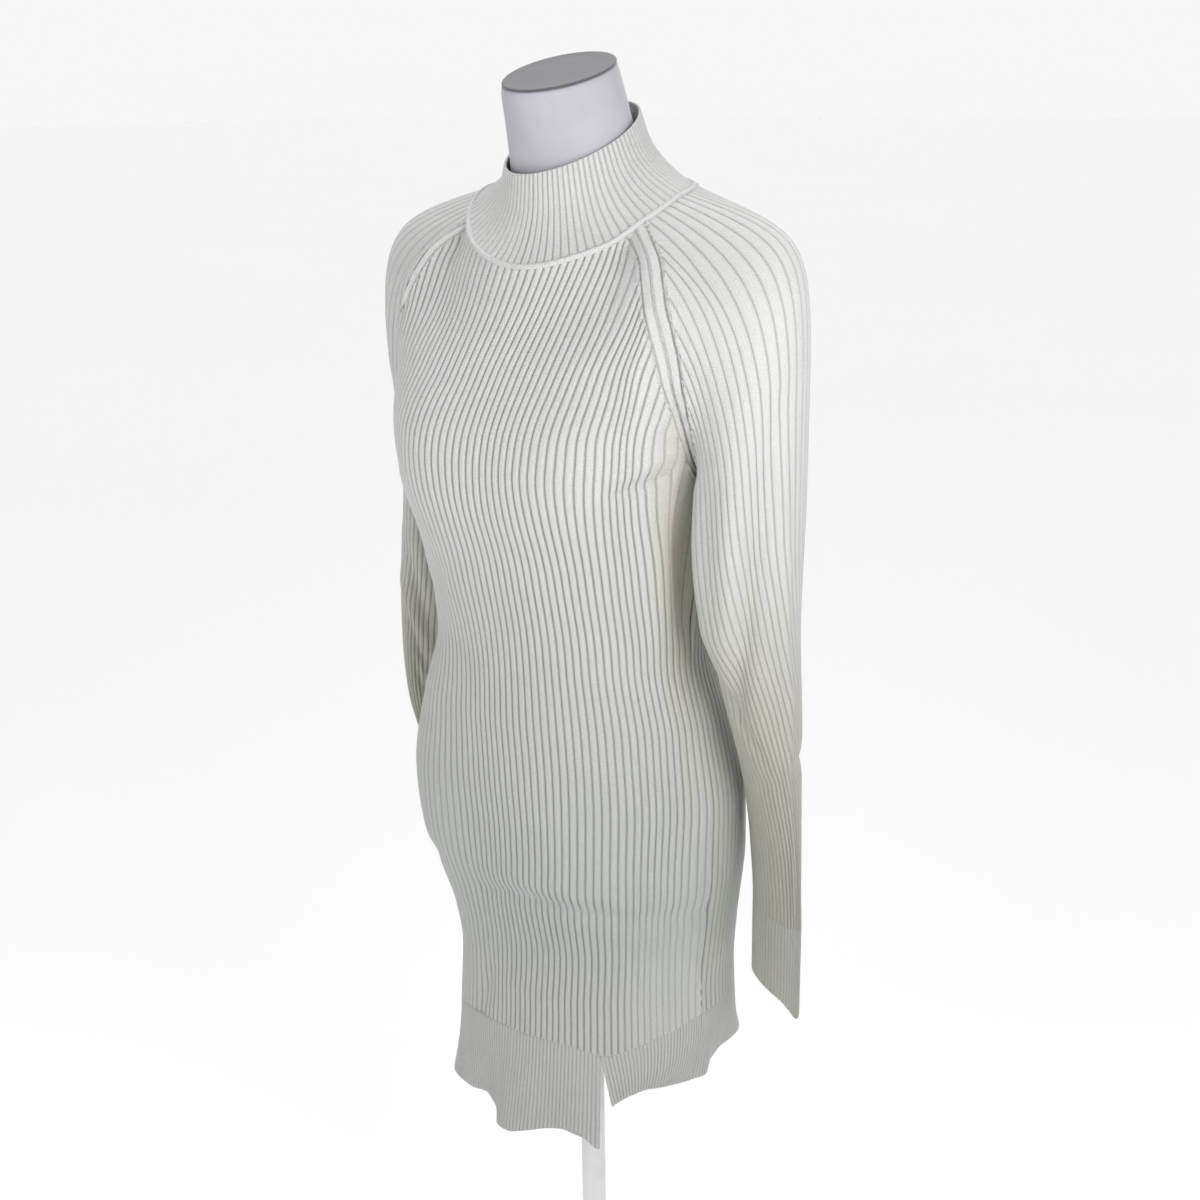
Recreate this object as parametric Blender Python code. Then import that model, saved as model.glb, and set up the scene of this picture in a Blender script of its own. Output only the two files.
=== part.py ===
"""Ribbed knit sweater dress, mock neck and raglan sleeves, on a limbless dress form.

Metres, +Z up.  The front faces -Y and the wearer's left is +X.  The pole stands on the
Z axis and the foot rests on z = 0.  The shape tables are in centimetres and degrees.
"""

import math

import bpy
from mathutils import Vector

# ---------------------------------------------------------------- sizes, in centimetres
CM = 0.01
WALL = 0.24              # knit wall
SEAM_GAP = 0.03          # clear space between neighbouring pieces
ROLL_RADIUS = 0.23       # rolled join at the foot of the collar
RAGLAN_DRAW = 0.03       # how far each edge of a raglan seam is drawn in
UNDERARM_DRAW = 0.07     # the same for the corners under the arms
ROLL_ROOM = 0.32         # half of the space that the collar and the panels leave for the roll
CORNER_ROOM = 0.40       # the same at the corners where the raglan seams reach the roll
FORM_CLEARANCE = 0.32    # between the inside of the knit and the form

SEAM_STEPS = 7           # columns along each raglan seam, the same for panel and sleeve
FRONT_STEPS = 12         # columns between the seams on the front, the back and a shoulder
BACK_STEPS = 10
SHOULDER_STEPS = 8
BODY_ROWS = 14
SLEEVE_ROWS = 18
FIRST_ROW = 0.045        # place of the row next to a seam
COLLAR_COLUMNS = 36
FORM_COLUMNS = 48

KNIT_LOW = 62.0          # below this level the ribs run straight down
CUFF_TOP = 72.2          # where the sleeve turns into the cuff
UNDERARM = 112.5

FORM_BOTTOM = 67.0
POLE_RADIUS = 1.25
FOOT_RADIUS = 15.0
FOOT_THICKNESS = 1.6
FOOT_BEVEL = 0.35

# Level sections of the dress body: half of the width, reach forward and back of the centre
# line, the centre line's place in y, and how square the section is (2 is an ellipse).
BODY = (
    # z,   half_width, front, back, centre, square
    (44.0, 15.6, 12.6, 12.6, 1.3, 2.1),
    (50.0, 15.2, 12.2, 12.5, 1.2, 2.1),
    (56.0, 14.9, 11.8, 12.1, 1.0, 2.1),
    (62.0, 14.6, 11.4, 12.1, 0.9, 2.1),
    (67.0, 15.1, 11.7, 12.3, 0.6, 2.1),
    (71.0, 15.8, 12.1, 12.5, 0.0, 2.15),
    (76.0, 16.8, 12.4, 12.6, -1.1, 2.2),
    (82.0, 17.1, 12.0, 12.5, -1.8, 2.2),
    (90.0, 15.6, 10.8, 11.2, -2.1, 2.2),
    (97.0, 13.7, 9.8, 9.8, -2.2, 2.2),
    (105.0, 14.0, 10.8, 9.7, -2.6, 2.3),
    (112.5, 14.8, 12.1, 9.8, -2.9, 2.5),
    (117.0, 15.4, 12.1, 10.2, -2.5, 2.7),
    (122.0, 15.7, 10.7, 10.6, -1.8, 3.1),
    (128.0, 15.8, 8.4, 10.4, -1.0, 4.2),
    (130.5, 15.8, 7.9, 10.1, -0.6, 3.8),
    (133.0, 15.8, 7.6, 9.6, -0.2, 2.7),
    (139.0, 15.8, 7.4, 8.8, 0.4, 2.4),
)

# The two low mounds that the form's bust gives the front.
BUST = {"z": 114.0, "angle": 34.0, "rise": 0.9, "z_spread": 6.5, "angle_spread": 21.0}

# Neck seam: an oval seen from above, with its height at each angle from the front.
NECK_HALF_WIDTH = 10.7
NECK_FRONT = 9.6
NECK_BACK = 7.6
NECK_CENTRE = 0.8
NECK_HEIGHT = (
    # reach back (-1 at the front, 1 at the back), z
    (-1.0, 130.6),
    (-0.90, 131.6),
    (-0.70, 133.1),
    (-0.45, 135.1),
    (0.0, 137.0),
    (0.6, 137.6),
    (1.0, 137.9),
)
FRONT_JOIN = 57.0        # angle at which the front raglan seam meets the neck seam
BACK_JOIN = 130.0

# Raglan seams of the wearer's left, from the neck seam (0) to the underarm (1), and the
# place of each point across the panel (0 is the centre line, 1 the side seam).
FRONT_RAGLAN = (
    # along, x, y, z, across
    (0.00, 8.97, -4.43, 134.45, 0.44),
    (0.17, 11.70, -6.60, 132.20, 0.58),
    (0.35, 13.60, -8.30, 127.90, 0.70),
    (0.54, 14.70, -7.90, 123.00, 0.80),
    (0.72, 14.90, -6.20, 118.50, 0.88),
    (0.87, 14.60, -3.80, 114.80, 0.95),
    (1.00, 14.20, -0.80, 112.50, 1.00),
)
BACK_RAGLAN = (
    # along, x, y, z, across
    (0.00, 8.20, 5.69, 137.64, 0.38),
    (0.17, 11.00, 7.30, 133.60, 0.53),
    (0.35, 12.90, 7.80, 128.50, 0.67),
    (0.54, 13.90, 6.00, 123.00, 0.79),
    (0.72, 14.30, 3.50, 118.00, 0.88),
    (0.87, 14.40, 1.20, 114.20, 0.95),
    (1.00, 14.20, -0.80, 112.50, 1.00),
)
TWIST = (
    # z, turn of the middle of the front panel toward -X, in degrees
    (62.0, 13.0),
    (80.0, 11.5),
    (105.0, 9.5),
    (117.0, 7.5),
    (126.0, 2.5),
    (133.0, 0.0),
)
SIDE_SEAM = (
    # z, angle from the front of the wearer's left seam, and of the right one
    (62.0, 77.0, 103.0),
    (80.0, 79.5, 102.0),
    (97.0, 87.0, 102.0),
    (105.0, 94.0, 102.2),
    (112.5, 102.6, 102.6),
)
RAGLAN_FADE = 11.0       # depth over which a panel settles from its top edge to the body

# Sleeve sections below the shoulder: centre, half sizes along and across the flat of the
# sleeve, and the direction of that flat from +X.
SLEEVES = {
    "left": (
        # z,    x,    y,    along, across, direction
        (62.0, 21.3, 0.2, 4.3, 1.15, -33.0),
        (72.0, 21.3, 0.2, 4.3, 1.15, -33.0),
        (78.0, 21.1, 0.1, 4.5, 1.35, -34.0),
        (85.0, 20.8, -0.4, 4.7, 2.1, -38.0),
        (93.0, 20.3, -1.3, 4.9, 3.4, -48.0),
        (101.0, 19.6, -2.0, 4.9, 4.2, -64.0),
        (109.0, 19.7, -2.2, 4.9, 4.2, -80.0),
    ),
    "right": (
        # z,    x,    y,    along, across, direction
        (62.0, 19.0, 6.2, 4.2, 1.15, -76.0),
        (72.0, 19.0, 5.9, 4.3, 1.2, -76.0),
        (78.0, 19.7, 4.8, 4.5, 1.35, -75.0),
        (85.0, 20.3, 3.0, 4.6, 1.9, -78.0),
        (93.0, 19.7, 1.9, 4.8, 2.6, -82.0),
        (101.0, 18.7, 1.3, 4.8, 3.1, -85.0),
        (109.0, 17.9, 1.2, 4.9, 3.1, -86.0),
    ),
}
SLEEVE_RING = 109.0      # level at which the raglan cap has become a tube
CAP_SHARE = 0.46         # share of a sleeve's rows that lie in the cap
SLEEVE_FRONT = 0.30      # share of the tube's round that starts on the front raglan seam
SLEEVE_BACK = 0.69
# How closely a rib follows its corner, how sharply it turns there and how fast it falls
# before it, over the shoulder and at the seams' lower ends.
SHOULDER = {
    "left": {"pull": 0.93, "weight": 1.8, "slope": 0.21},
    "right": {"pull": 0.93, "weight": 1.8, "slope": 0.31},
}
LOWER_CAP = {"pull": 0.80, "weight": 1.1, "slope": 0.85}
OVERHANG = {"left": 0.8, "right": 2.8}   # reach of the shoulder beyond the hanging sleeve
CUFF_BOTTOM = 64.4
CUFF_TIP = 1.3           # further fall of the cuff's edge at its outer corner
SIDE = {"left": 1.0, "right": -1.0}

# Collar rings from the neck seam to the top edge: share of the height, half of the width,
# reach forward and back of the centre line, and that line's place in y.
COLLAR = (
    # share, half_width, front, back, centre
    (0.00, 10.70, 9.60, 7.60, 0.80),
    (0.16, 9.30, 8.45, 7.05, 0.50),
    (0.36, 7.95, 7.30, 6.60, 0.10),
    (0.62, 6.85, 6.40, 6.15, -0.25),
    (1.00, 6.10, 5.85, 5.85, -0.65),
)
COLLAR_TOP = 141.6
COLLAR_TILT = 2.85       # rise of the top edge at the back, fall at the front
COLLAR_LEAN = 0.7        # its rise toward the wearer's left

# Hem band: the level of its upper edge round the body, then the level of its lower edge and
# how far that edge stands out, for the part on each side of the slit.
HEM_JOIN = (
    # angle, z
    (-180.0, 57.0),
    (-120.0, 55.4),
    (-62.0, 54.6),
    (-35.0, 56.5),
    (-10.0, 57.3),
    (15.0, 57.4),
    (32.0, 56.8),
    (45.0, 57.8),
    (60.0, 59.0),
    (78.0, 59.8),
    (105.0, 59.9),
    (140.0, 58.8),
    (180.0, 57.0),
)
HEM_EDGE_RIGHT = (
    # angle, z, out
    (-103.0, 46.7, 0.4),
    (-85.0, 46.0, 1.2),
    (-64.0, 45.4, 0.9),
    (-50.0, 46.2, 0.4),
    (-38.0, 46.9, -0.3),
    (-28.0, 47.5, -0.9),
    (-21.0, 47.0, -0.4),
    (-14.0, 46.1, 0.6),
    (-6.0, 46.4, 0.8),
    (0.0, 47.1, 0.8),
    (10.0, 48.1, 0.5),
    (17.0, 48.6, 0.8),
    (23.0, 48.5, 1.2),
    (29.0, 47.3, 1.0),
    (32.0, 47.7, 1.0),
)
HEM_EDGE_LEFT = (
    # angle, z, out
    (32.0, 50.0, -0.9),
    (38.0, 50.8, -1.6),
    (45.0, 51.3, -2.1),
    (54.0, 51.7, -2.4),
    (64.0, 51.8, -2.3),
    (77.0, 51.7, -1.7),
    (84.0, 51.9, -1.1),
    (91.0, 53.0, -1.4),
    (100.0, 53.2, -1.4),
    (112.0, 52.9, -0.8),
    (125.0, 52.4, 0.2),
    (145.0, 50.9, 1.0),
    (165.0, 49.4, 0.3),
    (182.0, 48.6, 0.8),
    (205.0, 47.8, 0.2),
    (230.0, 47.3, 1.2),
    (257.0, 46.7, 0.4),
)
HEM_CURVE = 1.6          # how late the band leaves the line of the body
SLIT_ACROSS = 0.52       # the slit's place across the front, on a column of the panel
SLIT_SPREAD = {"right": 1.0, "left": 5.0}    # turn of each edge of the slit at the hem

# The form, inside the cloth: the torso follows the body table up to the waist, then these.
FORM_TOP = (
    # z,    half_width, front, back, centre, square
    (105.0, 13.3, 10.2, 9.1, -2.6, 2.3),
    (109.0, 13.3, 11.0, 8.9, -2.7, 2.5),
    (112.5, 13.6, 11.4, 9.0, -2.9, 2.7),
    (117.0, 14.1, 11.2, 9.3, -2.5, 2.8),
    (122.0, 14.7, 9.9, 9.7, -1.8, 2.8),
    (124.5, 15.2, 8.8, 9.6, -1.4, 2.6),
    (127.0, 15.8, 7.6, 9.3, -0.9, 2.4),
    (129.0, 16.1, 6.8, 8.9, -0.5, 2.2),
    (130.5, 16.1, 6.4, 8.5, -0.2, 2.1),
    (131.8, 15.5, 6.1, 8.1, 0.0, 2.0),
    (133.0, 14.4, 5.8, 7.7, 0.2, 1.95),
    (134.0, 12.8, 5.6, 7.3, 0.3, 1.95),
    (134.8, 11.3, 5.3, 7.0, 0.3, 1.95),
    (135.5, 9.8, 5.0, 6.7, 0.3, 2.0),
    (136.2, 8.4, 4.8, 6.4, 0.2, 2.0),
    (136.9, 7.4, 4.8, 6.1, 0.1, 2.0),
    (137.6, 6.6, 4.9, 5.8, 0.0, 2.0),
    (138.5, 6.1, 5.1, 5.5, -0.2, 2.0),
    (139.5, 5.8, 5.3, 5.4, -0.4, 2.0),
)
NECK_RINGS = (
    # share, half_width, half_depth, centre
    (0.00, 5.80, 5.30, -0.40),
    (0.30, 5.65, 5.40, -0.80),
    (0.60, 5.45, 5.20, -1.45),
    (0.90, 5.18, 5.00, -2.20),
    (1.00, 5.02, 4.88, -2.40),
)
NECK_TOP = 146.9
NECK_TILT = 1.6
CAP_THICKNESS = 0.25

COLOURS = {
    "knit": (0.86, 0.86, 0.84, 1.0),
    "form_cloth": (0.62, 0.61, 0.66, 1.0),
    "cap_cloth": (0.34, 0.34, 0.37, 1.0),
    "white_paint": (0.80, 0.80, 0.80, 1.0),
}


# ---------------------------------------------------------------- tables and curves
def lookup(table, key):
    """Row of a table at a key, by a smooth curve through its rows."""
    if key <= table[0][0]:
        return table[0][1:]
    if key >= table[-1][0]:
        return table[-1][1:]
    i = max(n for n in range(len(table) - 1) if table[n][0] <= key)
    low, high = table[i], table[i + 1]
    span = high[0] - low[0]
    before = table[i - 1] if i else low
    after = table[i + 2] if i + 2 < len(table) else high
    t = (key - low[0]) / span
    values = []
    for c in range(1, len(low)):
        rise = (high[c] - low[c]) / span
        slopes = []
        for near, far, own in ((before, low, low), (high, after, high)):
            other = (far[c] - near[c]) / (far[0] - near[0]) if far[0] > near[0] else rise
            slopes.append(2 * rise * other / (rise + other) if rise * other > 0 else 0.0)
        values.append(
            low[c] * (2 * t**3 - 3 * t**2 + 1) + high[c] * (3 * t**2 - 2 * t**3)
            + span * (slopes[0] * (t**3 - 2 * t**2 + t) + slopes[1] * (t**3 - t**2))
        )
    return values


def bell(offset, spread):
    return math.exp(-((offset / spread) ** 2))


def turn_between(a, b):
    """Signed difference of two angles in degrees."""
    return (a - b + 180.0) % 360.0 - 180.0


def body_point(angle, z):
    """Point of the dress body at an angle from the front, in degrees toward +X."""
    half, front, back, centre, square = lookup(BODY, z)
    s, c = math.sin(math.radians(angle)), math.cos(math.radians(angle))
    size = (abs(s) ** square + abs(c) ** square) ** (-1.0 / square)
    reach = front if c > 0 else back
    if c > 0:
        lift = bell(z - BUST["z"], BUST["z_spread"]) * BUST["rise"]
        lift *= bell(abs(turn_between(angle, 0.0)) - BUST["angle"], BUST["angle_spread"])
        reach += lift
        half += 0.4 * lift
    return Vector((half * s * size, centre - reach * c * size, z))


def seam_turn(table, z):
    """Angle at which a level section of the body meets a raglan seam, and the place across."""
    x, y, _, across = lookup(table, lookup(tuple((r[3], r[0]) for r in reversed(table)), z)[0])
    half, front, back, centre, _ = lookup(BODY, z)
    reach = front if y < centre else back
    return math.degrees(math.atan2(x / half, (centre - y) / reach)), across


ARC_STEPS = 60
level_cache = {}


def level_girth(z, back):
    """Angles across a panel at a level, lengths along it, its middle's place and its span."""
    if (z, back) not in level_cache:
        if z <= UNDERARM:
            left, right = lookup(SIDE_SEAM, z)
            reach = 1.0
        else:
            left, reach = seam_turn(BACK_RAGLAN if back else FRONT_RAGLAN, z)
            right = left
        low, high = (left, 360.0 - right) if back else (-right, left)
        angles = [low + (high - low) * n / ARC_STEPS for n in range(ARC_STEPS + 1)]
        lengths = [0.0]
        for near, far in zip(angles, angles[1:]):
            lengths.append(lengths[-1] + (body_point(far, z) - body_point(near, z)).length)
        half = lengths[-1] / 2.0
        if not back:
            part = (-lookup(TWIST, z)[0] - low) / (high - low) * ARC_STEPS
            n = int(part)
            half = lengths[n] + (lengths[n + 1] - lengths[n]) * (part - n)
        level_cache[z, back] = angles, lengths, half, reach
    return level_cache[z, back]


def knit_turn(across, z, back):
    """Angle of a rib at a level.  The ribs share the level's girth out between the seams."""
    angles, lengths, half, reach = level_girth(round(max(z, KNIT_LOW), 1), back)
    place = (-across if back else across) / reach
    total = lengths[-1]
    length = half + total / 2.0 * place + (total / 2.0 - half) * place**2
    length = min(max(length, 0.0), total)
    n = max(i for i in range(ARC_STEPS) if lengths[i] <= length)
    part = (length - lengths[n]) / (lengths[n + 1] - lengths[n])
    return angles[n] + (angles[n + 1] - angles[n]) * part


def knit_point(across, z, back):
    return body_point(knit_turn(across, z, back), z)


def neck_point(angle):
    a = math.radians(angle)
    depth = NECK_FRONT if math.cos(a) > 0 else NECK_BACK
    height = lookup(NECK_HEIGHT, -math.cos(a))[0]
    return Vector((NECK_HALF_WIDTH * math.sin(a), NECK_CENTRE - depth * math.cos(a), height))


def seam_point(table, along, side):
    x, y, z, _ = lookup(table, along)
    return Vector((side * x, y, z))


def along_seam(table, across):
    """Place along a raglan seam of a point across the panel."""
    return lookup(tuple((row[4], row[0]) for row in table), across)[0]


def panel_top(across, back):
    """Point of the top edge of a body panel, and its height."""
    table = BACK_RAGLAN if back else FRONT_RAGLAN
    side = 1.0 if across >= 0 else -1.0
    join = table[0][4]
    if abs(across) < join:
        share = across / join
        turn = share * (180.0 - BACK_JOIN if back else FRONT_JOIN)
        return neck_point(180.0 - turn if back else turn)
    return seam_point(table, along_seam(table, abs(across)), side)


def panel_point(across, down, back):
    """Point of a body panel: across from side to side, down from the top edge to the hem."""
    top = panel_top(across, back)
    foot_z = lookup(HEM_JOIN, turn_between(knit_turn(across, KNIT_LOW, back), 0.0))[0]
    z = top.z + (foot_z - top.z) * down
    fade = min((top.z - z) / RAGLAN_FADE, 1.0)
    keep = (1.0 - fade) ** 2 * (1.0 + 2.0 * fade)
    return knit_point(across, z, back) + (top - knit_point(across, top.z, back)) * keep


def sleeve_section(z, share, wearer):
    """Point of the hanging tube: share 0 is the inside, a quarter the front, a half the outside."""
    x, y, along, across, direction = lookup(SLEEVES[wearer], z)
    d, a = math.radians(direction), 2.0 * math.pi * share
    flat = Vector((math.cos(d), math.sin(d), 0.0))
    out = Vector((-math.sin(d), math.cos(d), 0.0))
    return Vector((x, y, z)) + flat * (along * math.sin(a)) - out * (across * math.cos(a))


def sleeve_start(share):
    """Point of the sleeve's upper edge: front seam, neck seam, back seam."""
    if share <= SLEEVE_FRONT:
        return seam_point(FRONT_RAGLAN, 1.0 - share / SLEEVE_FRONT, 1.0)
    if share >= SLEEVE_BACK:
        return seam_point(BACK_RAGLAN, (share - SLEEVE_BACK) / (1.0 - SLEEVE_BACK), 1.0)
    part = (share - SLEEVE_FRONT) / (SLEEVE_BACK - SLEEVE_FRONT)
    return neck_point(FRONT_JOIN + part * (BACK_JOIN - FRONT_JOIN))


def sleeve_point(share, down, wearer):
    """Point of a sleeve: share round it, down from the upper edge to the cuff."""
    if down >= CAP_SHARE:
        z = SLEEVE_RING + (CUFF_TOP - SLEEVE_RING) * (down - CAP_SHARE) / (1.0 - CAP_SHARE)
        point = sleeve_section(z, share, wearer)
    else:
        start, end = sleeve_start(share), sleeve_section(SLEEVE_RING, share, wearer)
        top = 0.5 - 0.5 * math.cos(2.0 * math.pi * share)
        pull, weight, slope = (low + (SHOULDER[wearer][k] - low) * top
                               for k, low in LOWER_CAP.items())
        across = Vector((end.x - start.x, end.y - start.y, 0.0))
        corner = Vector((end.x, end.y, max(start.z - slope * across.length, end.z)))
        corner += across.normalized() * (OVERHANG[wearer] * top)
        one = start.lerp(corner, pull)
        two = end.lerp(corner, pull)
        t = down / CAP_SHARE
        shares = ((1 - t) ** 3, weight * 3 * t * (1 - t) ** 2,
                  weight * 3 * t**2 * (1 - t), t**3)
        point = sum((p * w for p, w in zip((start, one, two, end), shares)), Vector())
        point /= sum(shares)
    point.x *= SIDE[wearer]
    return point


def cuff_point(share, down, wearer):
    z = CUFF_TOP + (CUFF_BOTTOM - CUFF_TOP) * down
    point = sleeve_section(z, share, wearer)
    centre_x, centre_y, along, _, direction = lookup(SLEEVES[wearer], z)
    d = math.radians(direction)
    reach = (point.x - centre_x) * math.cos(d) + (point.y - centre_y) * math.sin(d)
    point.z -= CUFF_TIP * max(reach / along, 0.0) ** 5 * down
    point.x *= SIDE[wearer]
    return point


def collar_point(angle, up):
    half_width, front, back, centre = lookup(COLLAR, up)
    a = math.radians(angle)
    depth = front if math.cos(a) > 0 else back
    low = neck_point(angle).z
    high = COLLAR_TOP - COLLAR_TILT * math.cos(a) + COLLAR_LEAN * math.sin(a)
    return Vector((half_width * math.sin(a), centre - depth * math.cos(a),
                   low + (high - low) * up))


def hem_point(angle, down, edge):
    high = lookup(HEM_JOIN, turn_between(angle, 0.0))[0]
    low, out = lookup(edge, angle)
    z = high + (low - high) * down
    point = body_point(angle, z)
    centre = Vector((0.0, lookup(BODY, z)[3], z))
    return point + (point - centre).normalized() * (out * down**HEM_CURVE)


# ---------------------------------------------------------------- walls from grids
def grid(point, columns, rows):
    """Rows of points, each row one level, from a function of two lists of parameters."""
    return [[point(c, r) for c in columns] for r in rows]


def spread(low, high, count):
    return [low + (high - low) * n / count for n in range(count + 1)]


def normals(rows, closed):
    """Outward normals of a grid whose columns run toward the wearer's left seen from outside."""
    height, width = len(rows), len(rows[0])
    result = []
    for r in range(height):
        line = []
        for c in range(width):
            left = rows[r][c - 1] if (c or closed) else rows[r][c]
            right = rows[r][(c + 1) % width] if (c + 1 < width or closed) else rows[r][c]
            above, below = rows[max(r - 1, 0)][c], rows[min(r + 1, height - 1)][c]
            line.append((below - above).cross(right - left).normalized())
        result.append(line)
    return result


def drawn_in(edge, inner, out, closed, distances):
    """An edge moved in along its own cloth, each point by a distance square to the seam.

    A corner, where a raglan seam reaches the roll, moves down its seam instead.
    """
    count = len(edge)
    moved = []
    for n, point in enumerate(edge):
        before, after = (n - 1) % count, (n + 1) % count
        corner = distances[n] == CORNER_ROOM
        if corner:
            near = before if distances[before] < distances[after] else after
            tangent = (edge[near] - point).normalized()
            point = point + tangent * distances[n]
        else:
            before = edge[before] if (n or closed) else point
            after = edge[after] if (n + 1 < count or closed) else point
            tangent = (after - before).normalized()
        inward = inner[n] - edge[n]
        inward = (inward - tangent * inward.dot(tangent)).normalized()
        square = tangent.cross(out[n]).normalized()
        step = min(distances) if corner else distances[n]
        moved.append(point + inward * (step / max(abs(inward.dot(square)), 0.4)))
    return moved


def trim(rows, out, closed, top=None, bottom=0.0, sides=0.0):
    """Draws the edges of a grid in by the given distances, the top by one for each column."""
    rows = [list(row) for row in rows]
    width = len(rows[0])
    if sides:
        for edge, inner in ((0, 1), (-1, -2)):
            line = drawn_in([r[edge] for r in rows], [r[inner] for r in rows],
                            [r[edge] for r in out], False, [sides] * len(rows))
            for row, point in zip(rows, line):
                row[edge] = point
    if top:
        rows[0] = drawn_in(rows[0], rows[1], out[0], closed, top)
    if bottom:
        rows[-1] = drawn_in(rows[-1], rows[-2], out[-1], closed, [bottom] * width)
    return rows


def wall(rows, out, closed):
    """Vertices and faces of a wall whose outside is the grid."""
    height, width = len(rows), len(rows[0])
    outer = [point for row in rows for point in row]
    inner = [point - n * WALL for row, line in zip(rows, out) for point, n in zip(row, line)]
    total = height * width
    faces = []
    span = width if closed else width - 1
    for r in range(height - 1):
        for c in range(span):
            a, b = r * width + c, r * width + (c + 1) % width
            faces.append((a, a + width, b + width, b))
            faces.append((total + b, total + b + width, total + a + width, total + a))
    for c in range(span):
        a, b = c, (c + 1) % width
        faces.append((a, b, total + b, total + a))
        a, b = a + total - width, b + total - width
        faces.append((b, a, total + a, total + b))
    if not closed:
        for r in range(height - 1):
            a, b = r * width, (r + 1) * width
            faces.append((b, a, total + a, total + b))
            a, b = a + width - 1, b + width - 1
            faces.append((a, b, total + b, total + a))
    return outer + inner, faces


def skin(rings):
    """Vertices and faces of a closed solid through rings, with a flat fan at each end."""
    count = len(rings[0])
    points = [p for ring in rings for p in ring]
    faces = []
    for r in range(len(rings) - 1):
        for c in range(count):
            a, b = r * count + c, r * count + (c + 1) % count
            faces.append((a, b, b + count, a + count))
    for ring, start, flip in ((rings[0], 0, True), (rings[-1], (len(rings) - 1) * count, False)):
        middle = sum(ring, Vector()) / count
        points.append(middle)
        hub = len(points) - 1
        for c in range(count):
            a, b = start + c, start + (c + 1) % count
            faces.append((hub, b, a) if flip else (hub, a, b))
    return points, faces


# ---------------------------------------------------------------- scene objects
def clear_scene():
    for item in list(bpy.data.objects):
        bpy.data.objects.remove(item, do_unlink=True)


def material(name):
    made = bpy.data.materials.new(name)
    made.use_nodes = True
    shader = made.node_tree.nodes["Principled BSDF"]
    shader.inputs["Base Color"].default_value = COLOURS[name]
    shader.inputs["Roughness"].default_value = 0.4 if name == "white_paint" else 0.9
    made.diffuse_color = COLOURS[name]
    return made


def add_piece(name, shape, colour, mirrored=False):
    points, faces = shape
    if mirrored:
        faces = [tuple(reversed(face)) for face in faces]
    mesh = bpy.data.meshes.new(name)
    mesh.from_pydata([tuple(p * CM) for p in points], [], faces)
    mesh.materials.append(colour)
    mesh.update()
    piece = bpy.data.objects.new(name, mesh)
    collection.objects.link(piece)
    return piece


clear_scene()
collection = bpy.data.collections.new("sweater_dress_on_form")
bpy.context.scene.collection.children.link(collection)
knit, form_cloth, cap_cloth, white_paint = [material(name) for name in COLOURS]


# ---------------------------------------------------------------- pieces cut from the knit
half_gap = SEAM_GAP / 2
front_join, back_join = FRONT_RAGLAN[0][4], BACK_RAGLAN[0][4]
front_seam = spread(front_join, 1.0, SEAM_STEPS)
back_seam = spread(back_join, 1.0, SEAM_STEPS)
shares = [SLEEVE_FRONT * (1.0 - along_seam(FRONT_RAGLAN, across))
          for across in reversed(front_seam)]
shares += spread(SLEEVE_FRONT, SLEEVE_BACK, SHOULDER_STEPS)[1:-1]
shares += [SLEEVE_BACK + (1.0 - SLEEVE_BACK) * along_seam(BACK_RAGLAN, across)
           for across in back_seam[:-1]]
pieces = {}              # name: rows of points, whether they close, distances at the edges


def seam_room(beyond):
    """How far an upper edge is drawn in, by its place beyond the roll's corner."""
    if abs(beyond) < 0.001:
        return CORNER_ROOM
    return ROLL_ROOM if beyond < 0 else RAGLAN_DRAW


def add_grid(name, rows, closed, flip=False, **edges):
    if flip:
        rows = [list(reversed(row)) for row in rows]
        edges["top"] = list(reversed(edges["top"]))
    pieces[name] = (rows, closed, edges)


for name, seam, steps, is_back in (("front_panel", front_seam, FRONT_STEPS, False),
                                   ("back_panel", back_seam, BACK_STEPS, True)):
    join = seam[0]
    columns = [-across for across in reversed(seam)] + spread(-join, join, steps)[1:-1] + seam
    room = [seam_room(abs(across) - join) for across in columns]
    for n in (0, 1, -2, -1):
        room[n] = UNDERARM_DRAW
    rows = grid(lambda c, r: panel_point(c, r, is_back), columns,
                [0.0] + spread(FIRST_ROW, 1.0, BODY_ROWS))
    add_grid(name, rows, False, is_back, top=room, bottom=half_gap, sides=half_gap)
    if not is_back:
        front_columns = columns
    else:
        back_columns = list(reversed(columns))

room = [seam_room(max(SLEEVE_FRONT - share, share - SLEEVE_BACK)) for share in shares]
for n in (-1, 0, 1):
    room[n] = UNDERARM_DRAW
for wearer, side in SIDE.items():
    rows = grid(lambda c, r: sleeve_point(c, r, wearer), shares,
                [0.0] + spread(FIRST_ROW, 1.0, SLEEVE_ROWS))
    add_grid("sleeve_" + wearer, rows, True, side < 0, top=room, bottom=half_gap)
    rows = grid(lambda c, r: cuff_point(c, r, wearer), shares, spread(0.0, 1.0, 3))
    add_grid("cuff_" + wearer, rows, True, side < 0, top=[half_gap] * len(shares))


def add_hem(name, edge, angles, low_slit=False, high_slit=False):
    low, high = angles[0], angles[-1]

    def place(angle, down):
        share = (angle - low) / (high - low)
        start = low + (SLIT_SPREAD["left"] * down if low_slit else 0.0)
        stop = high - (SLIT_SPREAD["right"] * down if high_slit else 0.0)
        return hem_point(start + (stop - start) * share, down, edge)

    add_grid(name, grid(place, angles, spread(0.0, 1.0, 3)), False,
             top=[half_gap] * len(angles), sides=half_gap)


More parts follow.
